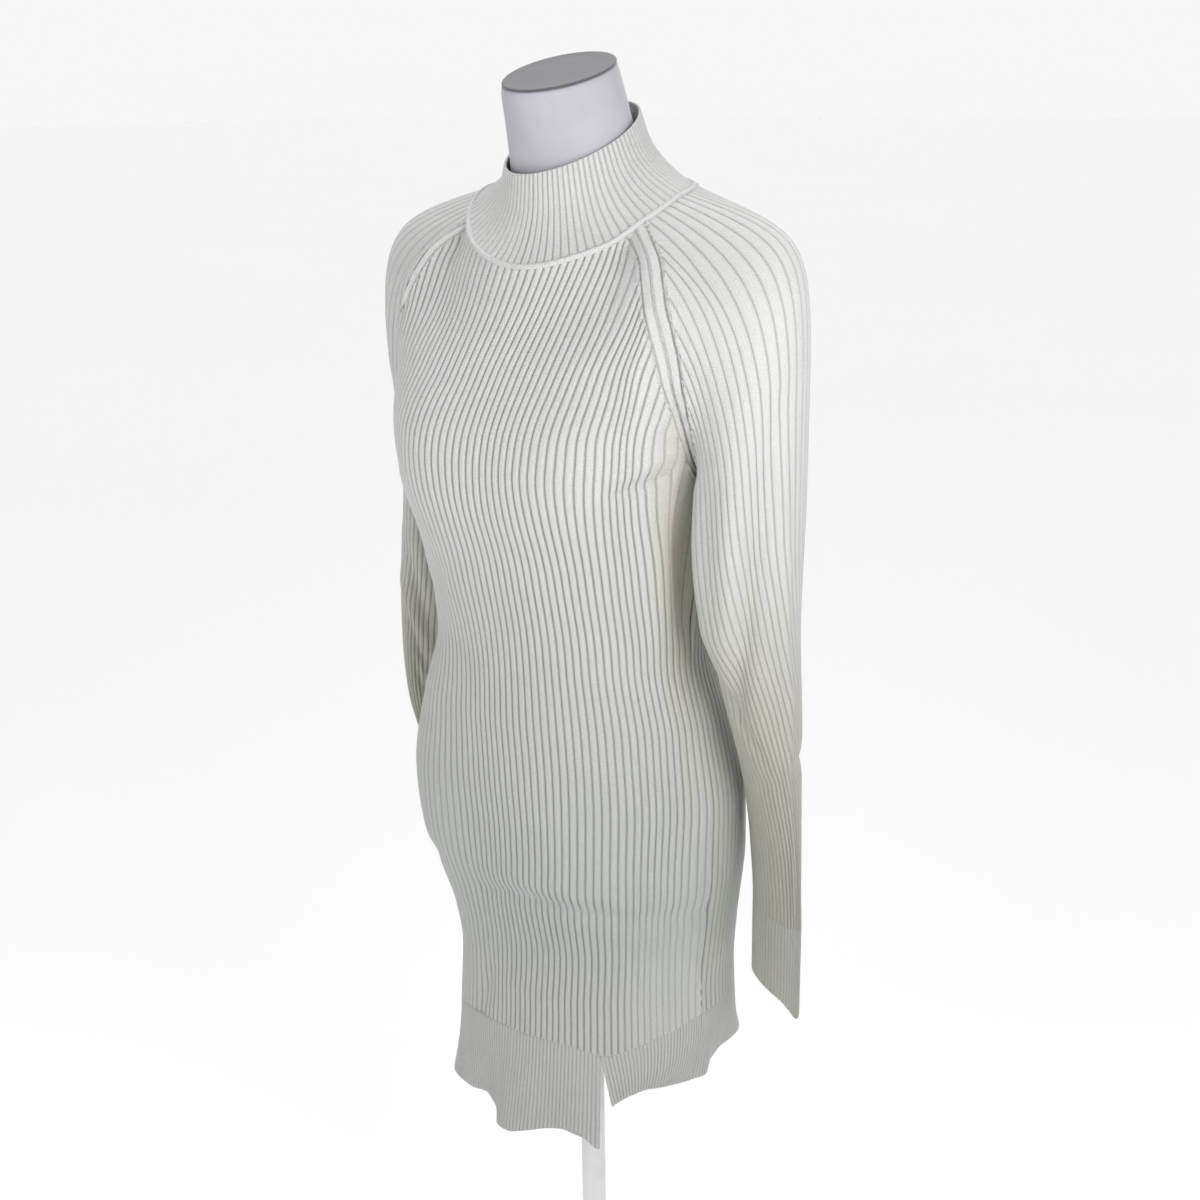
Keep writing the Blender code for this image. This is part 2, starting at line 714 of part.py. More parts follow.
turns = [knit_turn(across, KNIT_LOW, False) for across in front_columns]
slit = min(range(len(turns)), key=lambda n: abs(front_columns[n] - SLIT_ACROSS))
add_hem("hem_front_right", HEM_EDGE_RIGHT, turns[:slit + 1], high_slit=True)
add_hem("hem_front_left", HEM_EDGE_LEFT, turns[slit:], low_slit=True)
add_hem("hem_back", HEM_EDGE_LEFT, [knit_turn(across, KNIT_LOW, True) for across in back_columns])

# Pieces that share an edge turn it in along one direction, so their ends stay parallel.
# A piece's own corner counts half as much there as an edge that runs past it.
shared = {}
for rows, closed, edges in pieces.values():
    for row, line in zip(rows, normals(rows, closed)):
        for n, (point, out) in enumerate(zip(row, line)):
            key = tuple(round(v, 3) for v in point)
            corner = not closed and n in (0, len(row) - 1)
            shared[key] = shared.get(key, Vector()) + out * (0.5 if corner else 1.0)
for name, (rows, closed, edges) in pieces.items():
    out = [[shared[tuple(round(v, 3) for v in p)].normalized() for p in row] for row in rows]
    add_piece(name, wall(trim(rows, out, closed, **edges), out, closed), knit)

# ---------------------------------------------------------------- collar and its rolled join
angles = [360.0 * n / COLLAR_COLUMNS for n in range(COLLAR_COLUMNS)]
rows = grid(collar_point, angles, [1.0, 0.68, 0.36, 0.16, 0.0])
out = normals(rows, True)
rows[-1] = drawn_in(rows[-1], rows[-2], out[-1], True, [ROLL_ROOM] * COLLAR_COLUMNS)
add_piece("collar", wall(rows, out, True), knit)

ROLL_SIDES = 8
rings = []
loop = [neck_point(a) for a in angles]
for n, centre in enumerate(loop):
    tangent = (loop[(n + 1) % len(loop)] - loop[n - 1]).normalized()
    out = Vector((centre.x, centre.y - NECK_CENTRE, 4.0)).normalized()
    out = (out - tangent * out.dot(tangent)).normalized()
    across = tangent.cross(out)
    centre = centre - out * (WALL / 2 - 0.06)
    rings.append([centre + (out * math.cos(a) + across * math.sin(a)) * ROLL_RADIUS
                  for a in (2.0 * math.pi * k / ROLL_SIDES for k in range(ROLL_SIDES))])
points = [p for ring in rings for p in ring]
count = len(rings)
faces = [(n * ROLL_SIDES + k, n * ROLL_SIDES + (k + 1) % ROLL_SIDES,
          (n + 1) % count * ROLL_SIDES + (k + 1) % ROLL_SIDES, (n + 1) % count * ROLL_SIDES + k)
         for n in range(count) for k in range(ROLL_SIDES)]
add_piece("neck_roll", (points, faces), knit)

# ---------------------------------------------------------------- the form
inset = WALL + FORM_CLEARANCE
FORM_LEVELS = (71.0, 76.0, 82.0, 86.0, 90.0, 94.0, 97.0, 101.0)
FORM_ROUND = ((0.0, 1.2), (0.35, 0.45), (1.2, 0.0))    # lower rim: rise, draw
turns = [360.0 * n / FORM_COLUMNS for n in range(FORM_COLUMNS)]


def form_ring(row, z, shrink=0.0):
    half, front, back, centre, square = row
    ring = []
    for turn in turns:
        s, c = math.sin(math.radians(turn)), math.cos(math.radians(turn))
        size = (abs(s) ** square + abs(c) ** square) ** (-1.0 / square)
        reach = (front if c > 0 else back) - shrink
        ring.append(Vector(((half - shrink) * s * size, centre - reach * c * size, z)))
    return ring


def neck_ring(share, drop=0.0, shrink=0.0):
    half_width, half_depth, centre = lookup(NECK_RINGS, share)
    ring = []
    for turn in turns:
        a = math.radians(turn)
        low = FORM_TOP[-1][0]
        high = NECK_TOP - NECK_TILT * math.cos(a) * (1.0 - shrink / half_depth)
        ring.append(Vector(((half_width - shrink) * math.sin(a),
                            centre - (half_depth - shrink) * math.cos(a),
                            low + (high - low) * share - drop)))
    return ring


rings = [form_ring(lookup(BODY, FORM_BOTTOM), FORM_BOTTOM + rise, inset + draw)
         for rise, draw in FORM_ROUND]
rings += [form_ring(lookup(BODY, z), z, inset) for z in FORM_LEVELS]
rings += [form_ring(row[1:], row[0]) for row in FORM_TOP]
rings += [neck_ring(share) for share in (0.15, 0.3, 0.45, 0.6, 0.75, 0.9)]
rings += [neck_ring(0.97, shrink=0.02), neck_ring(1.0, shrink=0.12)]
add_piece("form_torso", skin(rings), form_cloth)

cap_low = neck_ring(1.0, drop=-SEAM_GAP)
cap_high = neck_ring(1.0, drop=-CAP_THICKNESS, shrink=0.12)
add_piece("form_cap", skin([cap_low, cap_high]), cap_cloth)

# ---------------------------------------------------------------- pole and foot
POLE_SIDES = 32


def disc_ring(radius, z):
    return [Vector((radius * math.sin(math.radians(360.0 * n / POLE_SIDES)),
                    -radius * math.cos(math.radians(360.0 * n / POLE_SIDES)), z))
            for n in range(POLE_SIDES)]


add_piece("stand_pole", skin([disc_ring(POLE_RADIUS, FOOT_THICKNESS + SEAM_GAP),
                              disc_ring(POLE_RADIUS, FORM_BOTTOM - SEAM_GAP)]), white_paint)
add_piece("stand_foot", skin([disc_ring(FOOT_RADIUS - FOOT_BEVEL, 0.0),
                              disc_ring(FOOT_RADIUS, FOOT_BEVEL),
                              disc_ring(FOOT_RADIUS, FOOT_THICKNESS - FOOT_BEVEL),
                              disc_ring(FOOT_RADIUS - FOOT_BEVEL, FOOT_THICKNESS)]),
          white_paint)
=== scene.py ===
"""Looks of a ribbed knit sweater dress on a limbless dress form.

Metres, in the frame of the CAD part.  The shape tables are the part's own, in centimetres
and degrees: the front faces -Y and the wearer's left is +X.
"""

import math

import bpy
import numpy as np
from mathutils import Matrix, Vector


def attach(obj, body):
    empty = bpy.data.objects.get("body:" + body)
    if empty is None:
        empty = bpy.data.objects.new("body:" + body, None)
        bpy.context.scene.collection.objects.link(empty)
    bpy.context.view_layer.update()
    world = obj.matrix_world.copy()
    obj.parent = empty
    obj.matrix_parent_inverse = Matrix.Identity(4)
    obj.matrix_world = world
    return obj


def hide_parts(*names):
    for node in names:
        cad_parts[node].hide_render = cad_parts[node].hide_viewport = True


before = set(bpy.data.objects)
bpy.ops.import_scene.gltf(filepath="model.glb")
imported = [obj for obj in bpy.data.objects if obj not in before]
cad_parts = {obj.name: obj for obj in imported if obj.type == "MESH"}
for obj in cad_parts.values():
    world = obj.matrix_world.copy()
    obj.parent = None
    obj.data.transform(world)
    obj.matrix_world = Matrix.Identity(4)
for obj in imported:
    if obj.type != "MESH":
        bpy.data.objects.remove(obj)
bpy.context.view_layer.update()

# ---- sizes, in centimetres
CM = 0.01
WALL = 0.24
SEAM_GAP = 0.03
ROLL_RADIUS = 0.26
KNIT_LOW = 62.0
KNIT_HIGH = 139.0
CUFF_TOP = 72.2
CUFF_BOTTOM = 64.4
CUFF_TIP = 1.3  # drop of the cuff's edge at its front fold
UNDERARM = 112.5
FORM_CLEARANCE = 0.32
FORM_BOTTOM = 67.0
POLE_RADIUS = 1.25
FOOT_RADIUS = 15.0
FOOT_THICKNESS = 1.6

BODY = (
    # z,   half_width, front, back, centre, square
    (44, 15.6, 12.6, 12.6, 1.3, 2.1),
    (50, 15.2, 12.2, 12.5, 1.2, 2.1),
    (56, 14.9, 11.8, 12.1, 1, 2.1),
    (62, 14.6, 11.4, 12.1, 0.9, 2.1),
    (67, 15.1, 11.7, 12.3, 0.6, 2.1),
    (71, 15.8, 12.1, 12.5, 0, 2.15),
    (76, 16.8, 12.4, 12.6, -1.1, 2.2),
    (82, 17.1, 12, 12.5, -1.8, 2.2),
    (90, 15.6, 10.8, 11.2, -2.1, 2.2),
    (97, 13.7, 9.8, 9.8, -2.2, 2.2),
    (105, 14, 10.8, 9.7, -2.6, 2.3),
    (112.5, 14.8, 12.1, 9.8, -2.9, 2.5),
    (117, 15.4, 12.1, 10.2, -2.5, 2.7),
    (122, 15.7, 10.7, 10.6, -1.8, 3.1),
    (128, 15.8, 8.4, 10.4, -1, 4.2),
    (130.5, 15.8, 7.9, 10.1, -0.6, 3.8),
    (133, 15.8, 7.6, 9.6, -0.2, 2.7),
    (139, 15.8, 7.4, 8.8, 0.4, 2.4),
)
BUST = {"z": 114.0, "angle": 34.0, "rise": 0.9, "z_spread": 6.5, "angle_spread": 21.0}

NECK_HALF_WIDTH = 10.7
NECK_FRONT = 9.6
NECK_BACK = 7.6
NECK_CENTRE = 0.8
NECK_HEIGHT = (
    # reach back (-1 at the front, 1 at the back), z
    (-1, 131.2), (-0.9, 132), (-0.7, 133.25), (-0.45, 135.1),
    (0, 137), (0.6, 137.6), (1, 137.9),
)
FRONT_JOIN = 57.0
BACK_JOIN = 130.0

FRONT_RAGLAN = (
    # along, x, y, z, across
    (0, 8.97, -4.43, 134.45, 0.44),
    (0.17, 11.7, -6.6, 132.2, 0.58),
    (0.35, 13.6, -8.3, 127.9, 0.7),
    (0.54, 14.7, -7.9, 123, 0.8),
    (0.72, 14.9, -6.2, 118.5, 0.88),
    (0.87, 14.6, -3.8, 114.8, 0.95),
    (1, 14.2, -0.8, 112.5, 1),
)
BACK_RAGLAN = (
    (0, 8.2, 5.69, 137.64, 0.38),
    (0.17, 11, 7.3, 133.6, 0.53),
    (0.35, 12.9, 7.8, 128.5, 0.67),
    (0.54, 13.9, 6, 123, 0.79),
    (0.72, 14.3, 3.5, 118, 0.88),
    (0.87, 14.4, 1.2, 114.2, 0.95),
    (1, 14.2, -0.8, 112.5, 1),
)
SIDE_SEAM = (
    # z, angle from the front of the wearer's left seam, and of the right one
    (62, 77, 103), (80, 79.5, 102), (97, 87, 102),
    (105, 94, 102.2), (112.5, 102.6, 102.6),
)
RAGLAN_FADE = 11.0
UPPER_RIB_EDGE = (
    # z, angles of the outermost ribs carried on above the underarm, left and right
    (112.5, 102.6, 102.6), (115, 95, 99), (119, 84, 88), (123, 77, 75),
    (127, 74, 68), (131, 74, 64), (137, 78, 58),
)
RIB_PLACES = (-0.725, -0.458, -0.192, 0.075, 0.342, 0.608, 0.875)
RIB_TURN = (
    # z, angle from the front of the front rib at each of the places across
    (62, -75, -48, -20.7, -0.9, 19.3, 40.8, 63.2),
    (68, -73, -44.5, -16.7, 2.4, 21.3, 41.7, 62.4),
    (74, -71.5, -42, -13.3, 3.2, 21.5, 42.6, 63.2),
    (80, -71.5, -42, -13.4, 3.7, 22.3, 43.3, 64.4),
    (86, -72.5, -43.5, -16.5, 1.6, 22.1, 43.9, 66.6),
    (92, -75, -48, -21.4, -1.9, 20.9, 44.5, 69.6),
    (98, -78, -53, -27.4, -4.4, 19.5, 43.9, 70.5),
    (103, -78, -53, -29, -4.3, 19.3, 42.9, 69),
    (107, -77.5, -52.5, -28, -4.1, 19.2, 42.4, 67.5),
    (111, -76, -50.5, -26.6, -4.8, 18.3, 42, 64.8),
    (115, -72, -47.5, -27.2, -5.4, 16.3, 40.8, 62),
    (119, -64.5, -43.5, -25.1, -3.7, 17.1, 39.5, 60.5),
    (123, -56, -38, -20.7, -1.6, 19.4, 39.6, 60),
    (127, -48.8, -32.6, -15.8, 0.9, 23, 41.8, 61),
    (131, -45.5, -30.3, -12, 4, 28, 45.3, 63),
    (137, -42, -26.5, -6.5, 9.5, 36, 54, 68),
)
SLIT_TURN = 30.31
SEAM_PLACE = (
    # z, places across of the front ribs that end there at the left and the right raglan seam
    (112.5, 1, 1), (114.8, 0.965, 0.96), (117.5, 0.925, 0.91), (121.3, 0.855, 0.81),
    (126.3, 0.742, 0.72), (129.7, 0.64, 0.66), (132, 0.555, 0.6), (134.5, 0.458, 0.41),
)
NECK_PLACE = (
    # angle along the neck seam, place across
    (-57, -0.41), (0, -0.006), (57, 0.458),
)

SLEEVES = {
    "left": (
        # z,    x,    y,    along, across, direction
        (62, 21.3, 0.2, 4.3, 1.15, -33),
        (72, 21.3, 0.2, 4.3, 1.15, -33),
        (78, 21.1, 0.1, 4.5, 1.35, -34),
        (85, 20.8, -0.4, 4.7, 2.1, -38),
        (93, 20.3, -1.3, 4.9, 3.4, -48),
        (101, 19.6, -2, 4.9, 4.2, -64),
        (109, 19.7, -2.2, 4.9, 4.2, -80),
    ),
    "right": (
        (62, 19, 6.2, 4.2, 1.15, -76),
        (72, 19, 5.9, 4.3, 1.2, -76),
        (78, 19.7, 4.8, 4.5, 1.35, -75),
        (85, 20.3, 3, 4.6, 1.9, -78),
        (93, 19.7, 1.9, 4.8, 2.6, -82),
        (101, 18.7, 1.3, 4.8, 3.1, -85),
        (109, 17.9, 1.2, 4.9, 3.1, -86),
    ),
}
SLEEVE_RING = 109.0
CAP_SHARE = 0.46
SLEEVE_FRONT = 0.30
SLEEVE_BACK = 0.69
SHOULDER = {
    "left": {"pull": 0.93, "weight": 1.8, "slope": 0.21},
    "right": {"pull": 0.93, "weight": 1.8, "slope": 0.31},
}
LOWER_CAP = {"pull": 0.80, "weight": 1.1, "slope": 0.85}
OVERHANG = {"left": 0.8, "right": 2.8}
SIDE = {"left": 1.0, "right": -1.0}

COLLAR = (
    # share, half_width, front, back, centre
    (0, 10.7, 9.6, 7.6, 0.8),
    (0.16, 9.3, 8.45, 7.05, 0.5),
    (0.36, 7.95, 7.3, 6.6, 0.1),
    (0.62, 6.85, 6.4, 6.15, -0.25),
    (1, 6.1, 5.85, 5.85, -0.65),
)
COLLAR_TOP = 141.6
COLLAR_TILT = 2.85
COLLAR_LEAN = 0.7

HEM_JOIN = (
    # angle, z
    (-180, 57), (-120, 55.4), (-62, 54.6), (-35, 56.5), (-10, 57.3),
    (15, 57.4), (32, 56.8), (45, 57.8), (60, 59), (78, 59.8),
    (105, 59.9), (140, 58.8), (180, 57),
)
HEM_EDGE_RIGHT = (
    # angle, z, out
    (-103, 46.7, 0.4), (-85, 46, 1.2), (-64, 45.4, 0.9), (-50, 46.2, 0.4),
    (-38, 46.9, -0.3), (-28, 47.5, -0.9), (-21, 47, -0.4), (-14, 46.1, 0.6),
    (-6, 46.4, 0.8), (0, 47.1, 0.8), (10, 48.1, 0.5), (17, 48.6, 0.8),
    (23, 48.5, 1.2), (29, 47.3, 1), (32, 47.7, 1),
)
HEM_EDGE_LEFT = (
    (32, 50, -0.9), (38, 50.8, -1.6), (45, 51.3, -2.1), (54, 51.7, -2.4),
    (64, 51.8, -2.3), (77, 51.7, -1.7), (84, 51.9, -1.1), (91, 53, -1.4),
    (100, 53.2, -1.4), (112, 52.9, -0.8), (125, 52.4, 0.2), (145, 50.9, 1),
    (165, 49.4, 0.3), (182, 48.6, 0.8), (205, 47.8, 0.2), (230, 47.3, 1.2),
    (257, 46.7, 0.4),
)
HEM_CURVE = 1.6
SLIT_SPREAD = {"right": 1.0, "left": 5.0}

FORM_TOP = (
    # z,    half_width, front, back, centre, square
    (105, 13.3, 10.2, 9.1, -2.6, 2.3),
    (109, 13.3, 11, 8.9, -2.7, 2.5),
    (112.5, 13.6, 11.4, 9, -2.9, 2.7),
    (117, 14.1, 11.2, 9.3, -2.5, 2.8),
    (122, 14.7, 9.9, 9.7, -1.8, 2.8),
    (124.5, 15.2, 8.8, 9.6, -1.4, 2.6),
    (127, 15.8, 7.6, 9.3, -0.9, 2.4),
    (129, 16.1, 6.8, 8.9, -0.5, 2.2),
    (130.5, 16.1, 6.4, 8.5, -0.2, 2.1),
    (131.8, 15.5, 6.1, 8.1, 0, 2),
    (133, 14.4, 5.8, 7.7, 0.2, 1.95),
    (134, 12.8, 5.6, 7.3, 0.3, 1.95),
    (134.8, 11.3, 5.3, 7, 0.3, 1.95),
    (135.5, 9.8, 5, 6.7, 0.3, 2),
    (136.2, 8.4, 4.8, 6.4, 0.2, 2),
    (136.9, 7.4, 4.8, 6.1, 0.1, 2),
    (137.6, 6.6, 4.9, 5.8, 0, 2),
    (138.5, 6.1, 5.1, 5.5, -0.2, 2),
    (139.5, 5.8, 5.3, 5.4, -0.4, 2),
)
NECK_RINGS = (
    # share, half_width, half_depth, centre
    (0, 5.8, 5.3, -0.4), (0.3, 5.65, 5.4, -0.8), (0.6, 5.45, 5.2, -1.45),
    (0.9, 5.18, 5, -2.2), (1, 5.02, 4.88, -2.4),
)
NECK_TOP = 146.9
NECK_TILT = 1.6
FORM_SIDE_IN = 0.9  # room inside the cloth for the tucks beside the sleeves
FORM_FOOT = (
    # rise above the underside, shrink
    (0, 6), (0, 1.6), (0, 1.2), (0.15, 0.75), (0.35, 0.45), (0.7, 0.15), (1.2, 0),
)
NECK_RIM = ((0.985, 0.02), (1.0, 0.10), (1.0, 0.4), (1.0, 2.5))  # share, shrink
CAP_RINGS = (
    # rise above the neck's top, shrink
    (0.03, 2.5), (0.03, 0.14), (0.08, 0.03), (0.16, 0.02), (0.225, 0.08),
    (0.25, 0.2), (0.24, 0.4), (0.2, 0.75), (0.185, 1.5), (0.18, 3),
)
FOOT_RINGS = (
    # in from the rim, z
    (1.5, 0), (0.4, 0), (0.12, 0.1), (0, 0.35), (0.02, 0.8),
    (0.15, 1.15), (0.5, 1.38), (1.4, 1.5), (5, 1.57), (13, 1.6),
)

# ---- the knit, in centimetres
PANEL_RIBS = 60
SLEEVE_RIBS = 42
COLLAR_RIBS = 84
CUFF_RIBS = 48
HEM_RIBS = 116  # in each half of the band
WIDE_OFFSETS = (0.0, 0.07, 0.20, 0.38, 0.62, 0.80, 0.93)
FINE_OFFSETS = (0.0, 0.14, 0.36, 0.64, 0.86)

WIDE_RIB = {"depth": 0.17, "groove": 0.072, "crown": 0.035}
SLEEVE_RIB = {"depth": 0.10, "groove": 0.062, "crown": 0.03}
COLLAR_RIB = {"depth": 0.13, "groove": 0.060, "crown": 0.02}
FINE_RIB = {"depth": 0.10, "groove": 0.055, "crown": 0.015}
CUFF_PITCH = 0.38
HEM_PITCH = 0.40
INNER_RELIEF = 0.4  # relief inside a wall, as a share of that outside
EDGE_ROUNDING = 0.045
GROOVE_SHADE_DEPTH = 0.12  # depth at which a groove has its full painted shade

SEAM_ZONE = 3.6  # depth below a seam in which rows are close together
NEAR_ROWS = np.concatenate([(0.0, 0.05, 0.10, 0.16, 0.24, 0.34), np.arange(0.46, SEAM_ZONE, 0.15)])
PANEL_ROWS = 172  # rows below the seam zone
SLEEVE_ROWS = 168
PANEL_SEAM_ROWS = 40  # how many of them can lie beside a raglan seam
SLEEVE_SEAM_ROWS = 26
CUFF_ROWS = 30
HEM_ROWS = 28
COLLAR_ROWS = 54
FAR = 9.0  # distance from the raglan seams given to the rows below those
PANEL_SCALE = 0.24  # cloth in a degree round the body
SLEEVE_SCALE = 30.0  # cloth in a whole turn of a sleeve
CAP_LEAN = 0.06  # shares by which the ribs of a sleeve cap lean toward the underarm

# By distance from a raglan seam: a flat band between two grooves, then the fashioning marks.
BAND = {"middle": 0.50, "half_width": 0.36, "height": 0.04, "ribs_from": 0.93, "ribs_full": 1.18}
BAND_GROOVES = ((0.10, 0.06, 0.08), (0.93, 0.085, 0.18))  # place, width, depth
BAND_TAPER = (0.35, 12.0, 24.0)  # share, from and to along the seam
RIGHT_BAND = 0.62  # width of the bands on the wearer's right, as a share of the left's
MARKS = {"place": 1.20, "width": 0.15, "height": 0.22}
PANEL_MARKS = 0.62  # from one fashioning mark to the next
SLEEVE_MARKS = 0.66
# painted shade along each raglan seam, as if it were a groove of this depth and width
SEAM_SHADE_DIP = {"depth": 0.07, "width": 0.08}
SIDE_DIP = {"depth": 0.10, "width": 0.10}
FOLDS_FROM = (0.1, 2.6)  # distances from the raglan seams over which folds fade in
PAINTED_SHADE_LEVEL = {"back": 0.2, "cuff": 0.6, "hem": 0.1}  # how much painted warm shade darkens the yarn, up to 1


# ---- tables and curves
def lookup(table, key):
    """Columns of a table at keys, by smooth curves through its rows."""
    rows = np.asarray(table, float)
    x, y = rows[:, 0], rows[:, 1:]
    key = np.clip(np.asarray(key, float), x[0], x[-1])
    i = np.clip(np.searchsorted(x, key, side="right") - 1, 0, len(x) - 2)
    span = np.diff(x)[:, None]
    rise = np.diff(y, axis=0) / span
    low, high = rise[:-1], rise[1:]
    mean = np.where(low * high > 0, 2 * low * high / np.where(low + high == 0, 1, low + high), 0)
    slope = np.concatenate([rise[:1], mean, rise[-1:]])
    t = ((key - x[i]) / span[i, 0])[..., None]
    values = (y[i] * (2 * t**3 - 3 * t**2 + 1) + y[i + 1] * (3 * t**2 - 2 * t**3)
              + span[i] * (slope[i] * (t**3 - 2 * t**2 + t) + slope[i + 1] * (t**3 - t**2)))
    return np.moveaxis(values, -1, 0)


def bell(offset, spread):
    return np.exp(-((offset / spread) ** 2))


def step(value, low, high):
    t = np.clip((value - low) / (high - low), 0.0, 1.0)
    return t * t * (3 - 2 * t)


def turn_between(a, b):
    return (a - b + 180.0) % 360.0 - 180.0


def vectors(x, y, z):
    return np.stack(np.broadcast_arrays(x, y, z), -1)


def unit(directions):
    return directions / np.linalg.norm(directions, axis=-1, keepdims=True)


def lengths_down(points):
    """Length from the first row of points to each of the rows."""
    steps = np.linalg.norm(np.diff(points, axis=0), axis=-1)
    return np.concatenate([np.zeros_like(steps[:1]), np.cumsum(steps, 0)])


def oval(angle, z, row, side_out, out):
    """Points of a rounded section at angles from the front, in degrees toward +X."""
    half, front, back, centre, square = row
    s, c = np.sin(np.radians(angle)), np.cos(np.radians(angle))
    size = (np.abs(s) ** square + np.abs(c) ** square) ** (-1.0 / square)
    reach = np.where(c > 0, front, back) + out
    return vectors((half + side_out) * s * size, centre - reach * c * size, z)


def body(angle, z):
    """Points of the dress body."""
    lift = bell(z - BUST["z"], BUST["z_spread"]) * BUST["rise"]
    lift = lift * bell(np.abs(turn_between(angle, 0.0)) - BUST["angle"], BUST["angle_spread"])
    lift = np.where(np.cos(np.radians(angle)) > 0, lift, 0.0)
    return oval(angle, z, lookup(BODY, z), 0.4 * lift, lift)


def smooth_down(values, spread, reach):
    """Values smoothed from row to row, with a spread and a reach in rows."""
    weights = bell(np.arange(-reach, reach + 1), spread)
    ends = [(reach, reach)] + [(0, 0)] * (values.ndim - 1)
    padded = np.pad(values, ends, mode="edge")
    return sum(w * padded[i:i + len(values)] for i, w in enumerate(weights / weights.sum()))


def level_table(back):
    """Angle of each place across a panel, level by level."""
    spacing = 0.25
    levels = np.arange(KNIT_LOW, KNIT_HIGH + 0.01, spacing)
    places = np.linspace(-1.0, 1.0, 641)
    left, right = lookup(SIDE_SEAM, levels)
    if not back:
        upper = lookup(UPPER_RIB_EDGE, levels)
        left, right = (np.where(levels > UNDERARM, high, low)
                       for high, low in zip(upper, (left, right)))
        knots = np.concatenate([[-right], lookup(RIB_TURN, levels), [left]]).T
        return levels, np.array([lookup(list(zip((-1.0, *RIB_PLACES, 1.0), row)), places)[0]
                                 for row in knots])
    angles = []
    for z, low, high in zip(levels, left, 360.0 - right):
        fan = np.linspace(low, high, 181)
        lengths = lengths_down(body(fan, np.full(fan.shape, z)))
        angles.append(np.interp((places + 1) / 2 * lengths[-1], lengths, fan))
    return levels, smooth_down(np.array(angles), 3.0 / spacing, 24)


LEVELS = {back: level_table(back) for back in (False, True)}


def knit_turn(across, z, back):
    """Angles of ribs at levels."""
    levels, angles = LEVELS[back]
    row = np.clip((z - levels[0]) / (levels[1] - levels[0]), 0, len(levels) - 1)
    col = (np.clip(-across if back else across, -1.0, 1.0) + 1) / 2 * (angles.shape[1] - 1)
    r = np.minimum(row.astype(int), angles.shape[0] - 2)
    c = np.minimum(col.astype(int), angles.shape[1] - 2)
    fr, fc = row - r, col - c
    return ((angles[r, c] * (1 - fc) + angles[r, c + 1] * fc) * (1 - fr)
            + (angles[r + 1, c] * (1 - fc) + angles[r + 1, c + 1] * fc) * fr)


def knit_point(across, z, back):
    return body(knit_turn(*np.broadcast_arrays(across, z), back), z)


def half_ovals(angle, half_width, front, back, centre, z):
    """Points of a section that is half an oval in front of its centre and half one behind."""
    a = np.radians(angle)
    depth = np.where(np.cos(a) > 0, front, back)
    return vectors(half_width * np.sin(a), centre - depth * np.cos(a), z)


def neck_point(angle):
    z = lookup(NECK_HEIGHT, -np.cos(np.radians(angle)))[0]
    return half_ovals(angle, NECK_HALF_WIDTH, NECK_FRONT, NECK_BACK, NECK_CENTRE, z)


def seam_point(table, along, side=1.0):
    x, y, z, _ = lookup(table, along)
    return vectors(side * x, y, z)


def panel_top(across, back):
    """Points of the top edge of a body panel."""
    table = BACK_RAGLAN if back else FRONT_RAGLAN
    join = table[0][4]
    turn = across / join * (180.0 - BACK_JOIN if back else FRONT_JOIN)
    neck = neck_point(180.0 - turn if back else turn)
    along = lookup([(row[4], row[0]) for row in table], np.abs(across))[0]
    seam = seam_point(table, along, np.sign(across))
    return np.where((np.abs(across) < join)[:, None], neck, seam)


def rib_tops(across, back):
    """Points of a panel's top edge where the ribs at places across run into it."""
    if back:
        return panel_top(across, back)
    spots = np.linspace(-1.0, 1.0, 2001)
    edge = panel_top(spots, back)
    left, right = lookup(SEAM_PLACE, edge[:, 2])
    neck = lookup(NECK_PLACE, spots / FRONT_RAGLAN[0][4] * FRONT_JOIN)[0]
    seam = np.where(spots > 0, left, -right)
    place = np.maximum.accumulate(np.where(np.abs(spots) < FRONT_RAGLAN[0][4], neck, seam))
    return np.stack([np.interp(across, place, edge[:, k]) for k in range(3)], -1)


def sleeve_section(z, share, wearer):
    x, y, along, across, direction = lookup(SLEEVES[wearer], z)
    d, a = np.radians(direction), 2 * np.pi * share
    return vectors(x + np.cos(d) * along * np.sin(a) + np.sin(d) * across * np.cos(a),
                   y + np.sin(d) * along * np.sin(a) - np.cos(d) * across * np.cos(a), z)


def sleeve_start(share):
    """Points of the sleeve's upper edge: front seam, neck seam, back seam."""
    front = seam_point(FRONT_RAGLAN, 1.0 - share / SLEEVE_FRONT)
    back = seam_point(BACK_RAGLAN, (share - SLEEVE_BACK) / (1.0 - SLEEVE_BACK))
    part = (share - SLEEVE_FRONT) / (SLEEVE_BACK - SLEEVE_FRONT)
    neck = neck_point(FRONT_JOIN + part * (BACK_JOIN - FRONT_JOIN))
    share = np.asarray(share)[..., None]
    return np.where(share <= SLEEVE_FRONT, front, np.where(share >= SLEEVE_BACK, back, neck))


